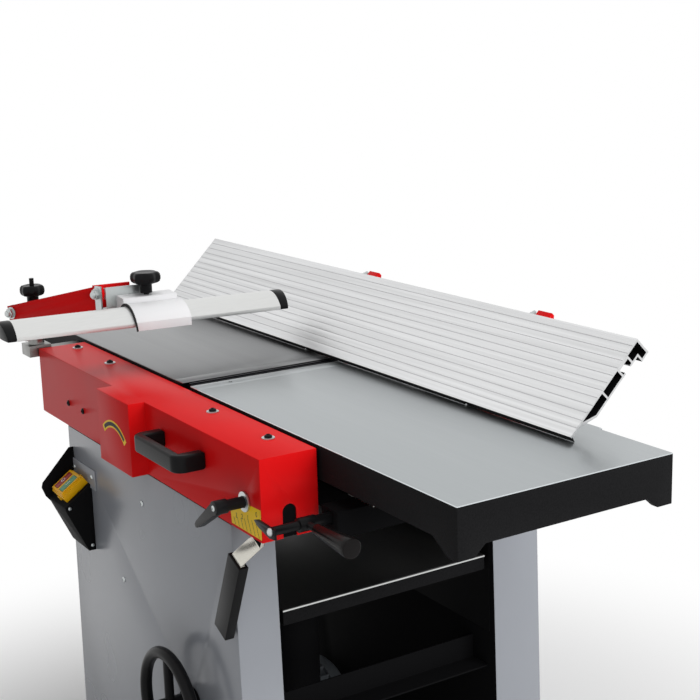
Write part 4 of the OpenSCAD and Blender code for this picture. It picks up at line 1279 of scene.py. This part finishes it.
@dataclass
class Levers:
    """Depth, clamp and lock levers. The lean of the lock lever is in radians."""

    shop: Shop
    cover_front: float = -253.0
    cover_low: float = -112.0
    clamp: Point = (350.0, -70.0)
    clamp_washer: float = 3.6
    clamp_reach: float = 46.0
    clamp_head: Point = (4.0, 1.6)
    depth: Triple = (432.0, -262.0, -85.0)
    depth_head: Point = (5.4, 4.2)
    lock: Point = (368.0, -88.0)
    lock_lean: float = math.radians(24.0)
    lock_bar: float = 69.5
    depth_edge: float = 0.9
    grip_edge: float = 2.2
    clamp_edge: float = 1.2
    lock_edge: float = 1.0

    def _lock_part(self, p: Vector, normal: Vector) -> int:
        """Tells the bar, the grip and the hidden head of the lock lever apart.

        Args:
            p: middle of a face.
            normal: its normal.

        Returns:
            0 on the bar, 1 on the grip and 2 above the cover's lower edge, where dark paint is
            painted shade.
        """
        x, z = p.x - self.lock[0], p.z - self.lock[1]
        along = -x * math.sin(self.lock_lean) - z * math.cos(self.lock_lean)
        return 2 if p.z > self.cover_low else int(along > self.lock_bar)

    def _clamp_part(self, p: Vector, normal: Vector) -> int:
        """Lever or washer of the clamp by the distance from the cover."""
        return int(p.y > self.cover_front - self.clamp_washer)

    def build(self) -> None:
        """Dresses the levers and adds their screws."""
        self.shop.soften("depth_lever", self.depth_edge, [Look.KNOB])
        self.shop.soften("depth_grip", self.grip_edge, [Look.GRIP], segments=3)
        looks = [Look.KNOB, Look.ZINC]
        self.shop.soften("clamp_lever", self.clamp_edge, looks, self._clamp_part, 3)
        # The head seen through the slot gets dark paint as painted shade.
        looks = [Look.NICKEL, Look.KNOB, Look.DARK]
        self.shop.soften("lock_lever", self.lock_edge, looks, self._lock_part, 3)
        screws = Fasteners(self.shop)
        seat = Seat("depth_screw", Body.DEPTH_LEVER, spot(*self.depth))
        screws.dome(seat, self.depth_head, Look.ZINC, hollow=False)
        place = spot(self.clamp[0], self.cover_front - self.clamp_reach, self.clamp[1])
        screws.dome(Seat("clamp_screw", Body.CLAMP_LEVER, place), self.clamp_head, Look.ZINC)


@dataclass
class Fence:
    """Tilting fence, its brackets, carriage and slide bars.

    On the leaning fence, u counts up its face from the foot and w counts back from the face.
    """

    shop: Shop
    foot: Point = (93.2, 7.6)
    lean: float = math.sqrt(0.5)
    lip_back: float = 5.5
    lip_u: float = 1.0
    face_u: Point = (4.0, 152.5)
    groove_w: Point = (0.1, 0.7)
    cell_w: Point = (2.5, 15.5)
    head_u: float = 138.0
    head_w: float = 26.5
    bar_y: float = 193.0
    toe: Point = (3.0, 14.0)
    pin: Point = (99.35, 7.1)
    shadow_strip: Sequence[Point] = ((-6.6, 1.2), (-5.0, 1.2), (-0.9, -6.6), (-1.6, -6.7))
    ends: Point = (-610.0, 582.0)
    arm_x: Sequence[float] = (-84.0, 362.0)
    arm_half: float = 8.6
    pad: Quad = (99.5, 106.0, 0.4, 3.0)
    pad_in: float = 1.6
    bolt: Triple = (-23.0, 167.0, 31.5)
    bolt_size: Point = (5.0, 5.0)
    face_edge: float = 0.35
    bracket_edge: float = 0.8
    carriage_edge: float = 1.5
    rail_edge: float = 0.8

    def place(self, x: float, u: float, w: float) -> Vector:
        """Point on the fence at rest.

        Args:
            x: along the fence.
            u: up its face.
            w: behind its face.

        Returns:
            The place in metres.
        """
        y = self.foot[0] + self.lean * (u - self.lip_back + w)
        return spot(x, y, self.foot[1] + self.lean * (u + self.lip_back - w))

    def _cell_part(self, p: Vector, normal: Vector) -> int:
        """Tells the parts of the fence's section apart.

        Args:
            p: middle of a face.
            normal: its normal.

        Returns:
            0 on the outside, 1 in a groove, and 2 inside a cell and under the lip, where black is
            painted shade.
        """
        back, rise = (p.y - self.foot[0]) / self.lean, (p.z - self.foot[1]) / self.lean
        u, w = (back + rise) / 2.0, (back - rise) / 2.0 + self.lip_back
        if abs(normal.x) > FACING:
            return 0
        if u < self.lip_u and normal.z < DOWNWARD:
            return 2
        if not self.face_u[0] < u < self.face_u[1]:
            return 0
        if self.groove_w[0] < w < self.groove_w[1]:
            return 1
        deep = self.head_w if u > self.head_u else self.cell_w[1]
        return 2 if self.cell_w[0] < w < deep else 0

    def _bar_part(self, p: Vector, normal: Vector) -> int:
        """Post or round bar of the slide by its distance behind the table."""
        return int(p.y > self.bar_y)

    def _shaded_toe_part(self, p: Vector, normal: Vector) -> int:
        """Red bracket, or its toe under the fence's lip in black as painted shade."""
        return int(p.y < self.pin[0] + self.toe[0] and p.z < self.toe[1])

    def build(self) -> None:
        """Dresses the fence; adds a painted shadow strip under its lip, the arms' pads and the
        nuts.
        """
        # Black inside the cells and under the lip is painted shade.
        looks = [Look.FENCE, Look.GROOVE, Look.BLACK_PAINT]
        self.shop.soften("fence_face", self.face_edge, looks, self._cell_part)
        # The bracket's toe under the lip is painted shade.
        looks = [Look.RED, Look.BLACK_PAINT]
        self.shop.soften("fence_brackets", self.bracket_edge, looks, self._shaded_toe_part)
        self.shop.soften("fence_carriage", self.carriage_edge, [Look.DARK])
        looks = [Look.DARK, Look.STEEL]
        self.shop.soften("fence_rails", self.rail_edge, looks, self._bar_part)
        StarKnob(self.shop, "carriage_knob").build()
        # Black strips under the lip, broken at the arms: a painted shadow of the gap there.
        stops = [x + side * self.arm_half for x in self.arm_x for side in (-1.0, 1.0)]
        stops = [self.ends[0], *stops, self.ends[1]]
        for k, (x0, x1) in enumerate(zip(stops[::2], stops[1::2])):
            seat = Seat(f"fence_shadow_strip_{k}", Body.FENCE, spot(x0, *self.pin), RIGHT)
            self.shop.add(plate(self.shadow_strip, x1 - x0), seat, Look.RUBBER)
        nuts = Fasteners(self.shop)
        wide = 2.0 * self.arm_half - self.pad_in
        for k, x in enumerate(self.arm_x):
            seat = Seat(f"arm_pad_{k}", Body.CARRIAGE, spot(x - wide / 2.0, 0.0, 0.0), RIGHT)
            self.shop.add(slab(*self.pad, wide), seat, Look.RUBBER)
            place = self.place(x + self.bolt[0], *self.bolt[1:])
            seat = Seat(f"fence_bolt_{k}", Body.FENCE, place, (0.0, 1.0, 1.0))
            nuts.nut(seat, *self.bolt_size)


@dataclass
class Guard:
    """Bridge guard with its saddle, arm and knobs. Angles are in radians."""

    shop: Shop
    pivot: Triple = (-428.0, -286.7, 61.0)
    yaw: float = math.radians(22.9)
    pitch: float = math.asin(51.0 / 219.4)
    length: float = 219.4
    bar_yaw: float = math.radians(-5.3)
    bar_z: float = 72.0
    hang: Point = (-106.7, 163.2)
    arch: Triple = (-40.0, -24.0, 50.0)
    saddle_y: float = 188.0
    seal: Triple = (0.5, 5.2, 1.8)
    seal_arc: Point = (21.0, 138.0)
    lift_stud: float = 12.0
    nut_off: Point = (2.9, 5.8)
    nut_size: Point = (8.4, 8.0)
    bar_edge: float = 0.6
    cap_edge: float = 2.4
    soft: Sequence[Soft] = (
        ("guard_saddle", 0.7, Look.SADDLE),
        ("guard_angle", 0.5, Look.ZINC),
        ("guard_arm", 0.6, Look.RED),
        ("guard_bracket", 1.0, Look.STEEL),
    )

    def along(self) -> Vector:
        """Direction of the bar, away from the operator."""
        return Vector((-math.sin(self.bar_yaw), math.cos(self.bar_yaw), 0.0))

    def out(self) -> Vector:
        """Direction from the arm to the operator."""
        return Vector((math.sin(self.yaw), -math.cos(self.yaw), 0.0))

    def upper(self) -> Vector:
        """Place of the upper pivot in millimetres.

        Returns:
            The place.
        """
        run, rise = self.length * math.cos(self.pitch), self.length * math.sin(self.pitch)
        arm = Vector((run * math.cos(self.yaw), run * math.sin(self.yaw), rise))
        return Vector(self.pivot) + arm

    def on_bar(self, x: float, y: float, z: float) -> Vector:
        """Point in the bar's own frame.

        Args:
            x: across the bar.
            y: along the bar.
            z: above its lower edge.

        Returns:
            The place in metres.
        """
        run = self.along()
        across = Vector((run.y, -run.x, 0.0))
        place = self.upper() + across * (x - self.hang[0]) + run * (y - self.hang[1])
        return spot(place.x, place.y, self.bar_z + z)

    def build(self) -> None:
        """Dresses the guard and adds the saddle's seal and the pivot nuts."""
        self.shop.soften("guard_bar", self.bar_edge, [Look.GUARD])
        self.shop.soften("guard_caps", self.cap_edge, [Look.KNOB], segments=3)
        self.shop.soften_all(self.soft)
        StarKnob(self.shop, "saddle_knob").build()
        StarKnob(self.shop, "lift_knob", self.lift_stud).build()
        x, z, radius = self.arch
        inner, outer, thick = self.seal
        seal = band(radius + inner, radius + outer, *self.seal_arc, thick)
        place = self.on_bar(x, self.saddle_y, z)
        seat = Seat("saddle_seal", Body.GUARD_HEAD, place, -self.along())
        self.shop.add(seal, seat, Look.RUBBER)
        nuts, out = Fasteners(self.shop), self.out()
        pivots = (
            ("lower_pivot_nut", Body.TABLES, Vector(self.pivot)),
            ("upper_pivot_nut", Body.GUARD_HEAD, self.upper()),
        )
        for (name, body, pivot), off in zip(pivots, self.nut_off):
            nuts.nut(Seat(name, body, spot(*(pivot + out * off)), out), *self.nut_size)


@dataclass
class Studio:
    """Camera, lamps, floor and white surroundings.

    Camera angles are in degrees; the lamps and the floor are in metres.
    """

    lens: float = 69.78
    sensor: float = 36.0
    clip_end: float = 60.0
    azimuth: float = 58.127
    elevation: float = 12.941
    roll: float = -1.627
    eye: Triple = (1831.1, -1009.1, 506.4)
    lamps: Sequence[Tuple[str, Triple, Triple, float, float]] = (
        ("top_lamp", (0.2, 0.4, 3.3), (0.1, 0.0, 0.86), 2.6, 38.0),
        ("side_lamp", (3.3, 0.5, 1.9), (0.3, 0.0, 0.7), 2.2, 80.0),
    )
    white: Quad = (1.0, 1.0, 1.0, 1.0)
    room_light: float = 0.30
    floor_half: float = 14.0
    floor_tone: Quad = (0.88, 0.88, 0.88, 1.0)
    floor_roughness: float = 0.8
    near: float = 0.6
    far: float = 1.5

    def camera(self) -> None:
        """Places the camera of the photograph."""
        a, e, r = (math.radians(v) for v in (self.azimuth, self.elevation, self.roll))
        back = Vector((math.sin(a) * math.cos(e), -math.cos(a) * math.cos(e), math.sin(e)))
        right = Vector((math.cos(a), math.sin(a), 0.0))
        up = back.cross(right)
        side, top = right * math.cos(r) + up * math.sin(r), up * math.cos(r) - right * math.sin(r)
        turn = Matrix((side, top, back)).transposed().to_4x4()
        data = bpy.data.cameras.new("photo_camera")
        data.lens = self.lens
        data.sensor_width = self.sensor
        data.clip_end = self.clip_end
        camera = bpy.data.objects.new("photo_camera", data)
        camera.matrix_world = Matrix.Translation(spot(*self.eye)) @ turn
        bpy.context.scene.collection.objects.link(camera)
        bpy.context.scene.camera = camera

    def light(self) -> None:
        """Hangs the soft lamps."""
        for name, place, target, size, power in self.lamps:
            data = bpy.data.lights.new(name, "AREA")
            data.size = size
            data.energy = power
            lamp = bpy.data.objects.new(name, data)
            lamp.location = place
            lamp.visible_glossy = False
            aim = Vector(target) - Vector(place)
            lamp.rotation_euler = aim.to_track_quat("-Z", "Y").to_euler()
            bpy.context.scene.collection.objects.link(lamp)

    @staticmethod
    def seen(shade: Shade) -> Socket:
        """One for rays that see the background directly, in gloss or through glass.

        Args:
            shade: layout helper of the tree.

        Returns:
            The factor socket.
        """
        path = shade.node("LightPath").outputs
        first = shade.calc("MAXIMUM", path["Is Camera Ray"], path["Is Glossy Ray"])
        return shade.calc("MAXIMUM", first, path["Is Transmission Ray"])

    def world(self) -> None:
        """White surroundings that light the object softly."""
        world = bpy.data.worlds.new("white_room")
        bpy.context.scene.world = world
        world.use_nodes = True
        shade = Shade(world.node_tree)
        strength = shade.span(self.seen(shade), self.room_light, 1.0)
        base = world.node_tree.nodes["Background"]
        shade.fill(base, {"Color": self.white, "Strength": strength})

    def pale(self) -> bpy.types.Material:
        """Matt pale material that fades to white away from the object.

        Returns:
            The material.
        """
        material = bpy.data.materials.new("pale_floor")
        material.use_nodes = True
        shade = Shade(material.node_tree)
        matt = material.node_tree.nodes["Principled BSDF"]
        shade.fill(matt, {"Base Color": self.floor_tone, "Roughness": self.floor_roughness})
        reach = shade.node("VectorMath", {0: shade.place()}, operation="LENGTH").outputs["Value"]
        limits = {"Value": reach, "From Min": self.near, "From Max": self.far}
        fade = shade.node("MapRange", limits, interpolation_type="SMOOTHSTEP").outputs["Result"]
        part = shade.calc("MULTIPLY", fade, self.seen(shade))
        layers = {0: part, 1: matt.outputs[0], 2: shade.node("Emission").outputs[0]}
        mixed = shade.node("MixShader", layers).outputs[0]
        shade.fill(material.node_tree.nodes["Material Output"], {"Surface": mixed})
        return material

    def floor(self) -> None:
        """Pale floor that keeps the shadow."""
        shape = bmesh.new()
        bmesh.ops.create_grid(shape, x_segments=1, y_segments=1, size=self.floor_half)
        mesh = bpy.data.meshes.new("studio_floor")
        shape.to_mesh(mesh)
        shape.free()
        mesh.materials.append(self.pale())
        floor = bpy.data.objects.new("studio_floor", mesh)
        bpy.context.scene.collection.objects.link(floor)

    def build(self) -> None:
        """Sets up the whole studio."""
        bpy.context.scene.view_settings.view_transform = "Standard"
        self.camera()
        self.light()
        self.world()
        self.floor()


def main() -> None:
    """Loads the solids, dresses them, adds the small parts and lights the scene."""
    logging.basicConfig(level=logging.INFO)
    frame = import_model()
    shop = Shop(frame["nodes"], Palette())
    for assembly in (Cabinet, Switch, Tables, FrontCover, Levers, Fence, Guard):
        assembly(shop).build()
    Studio().build()


if __name__ == "__main__":
    main()
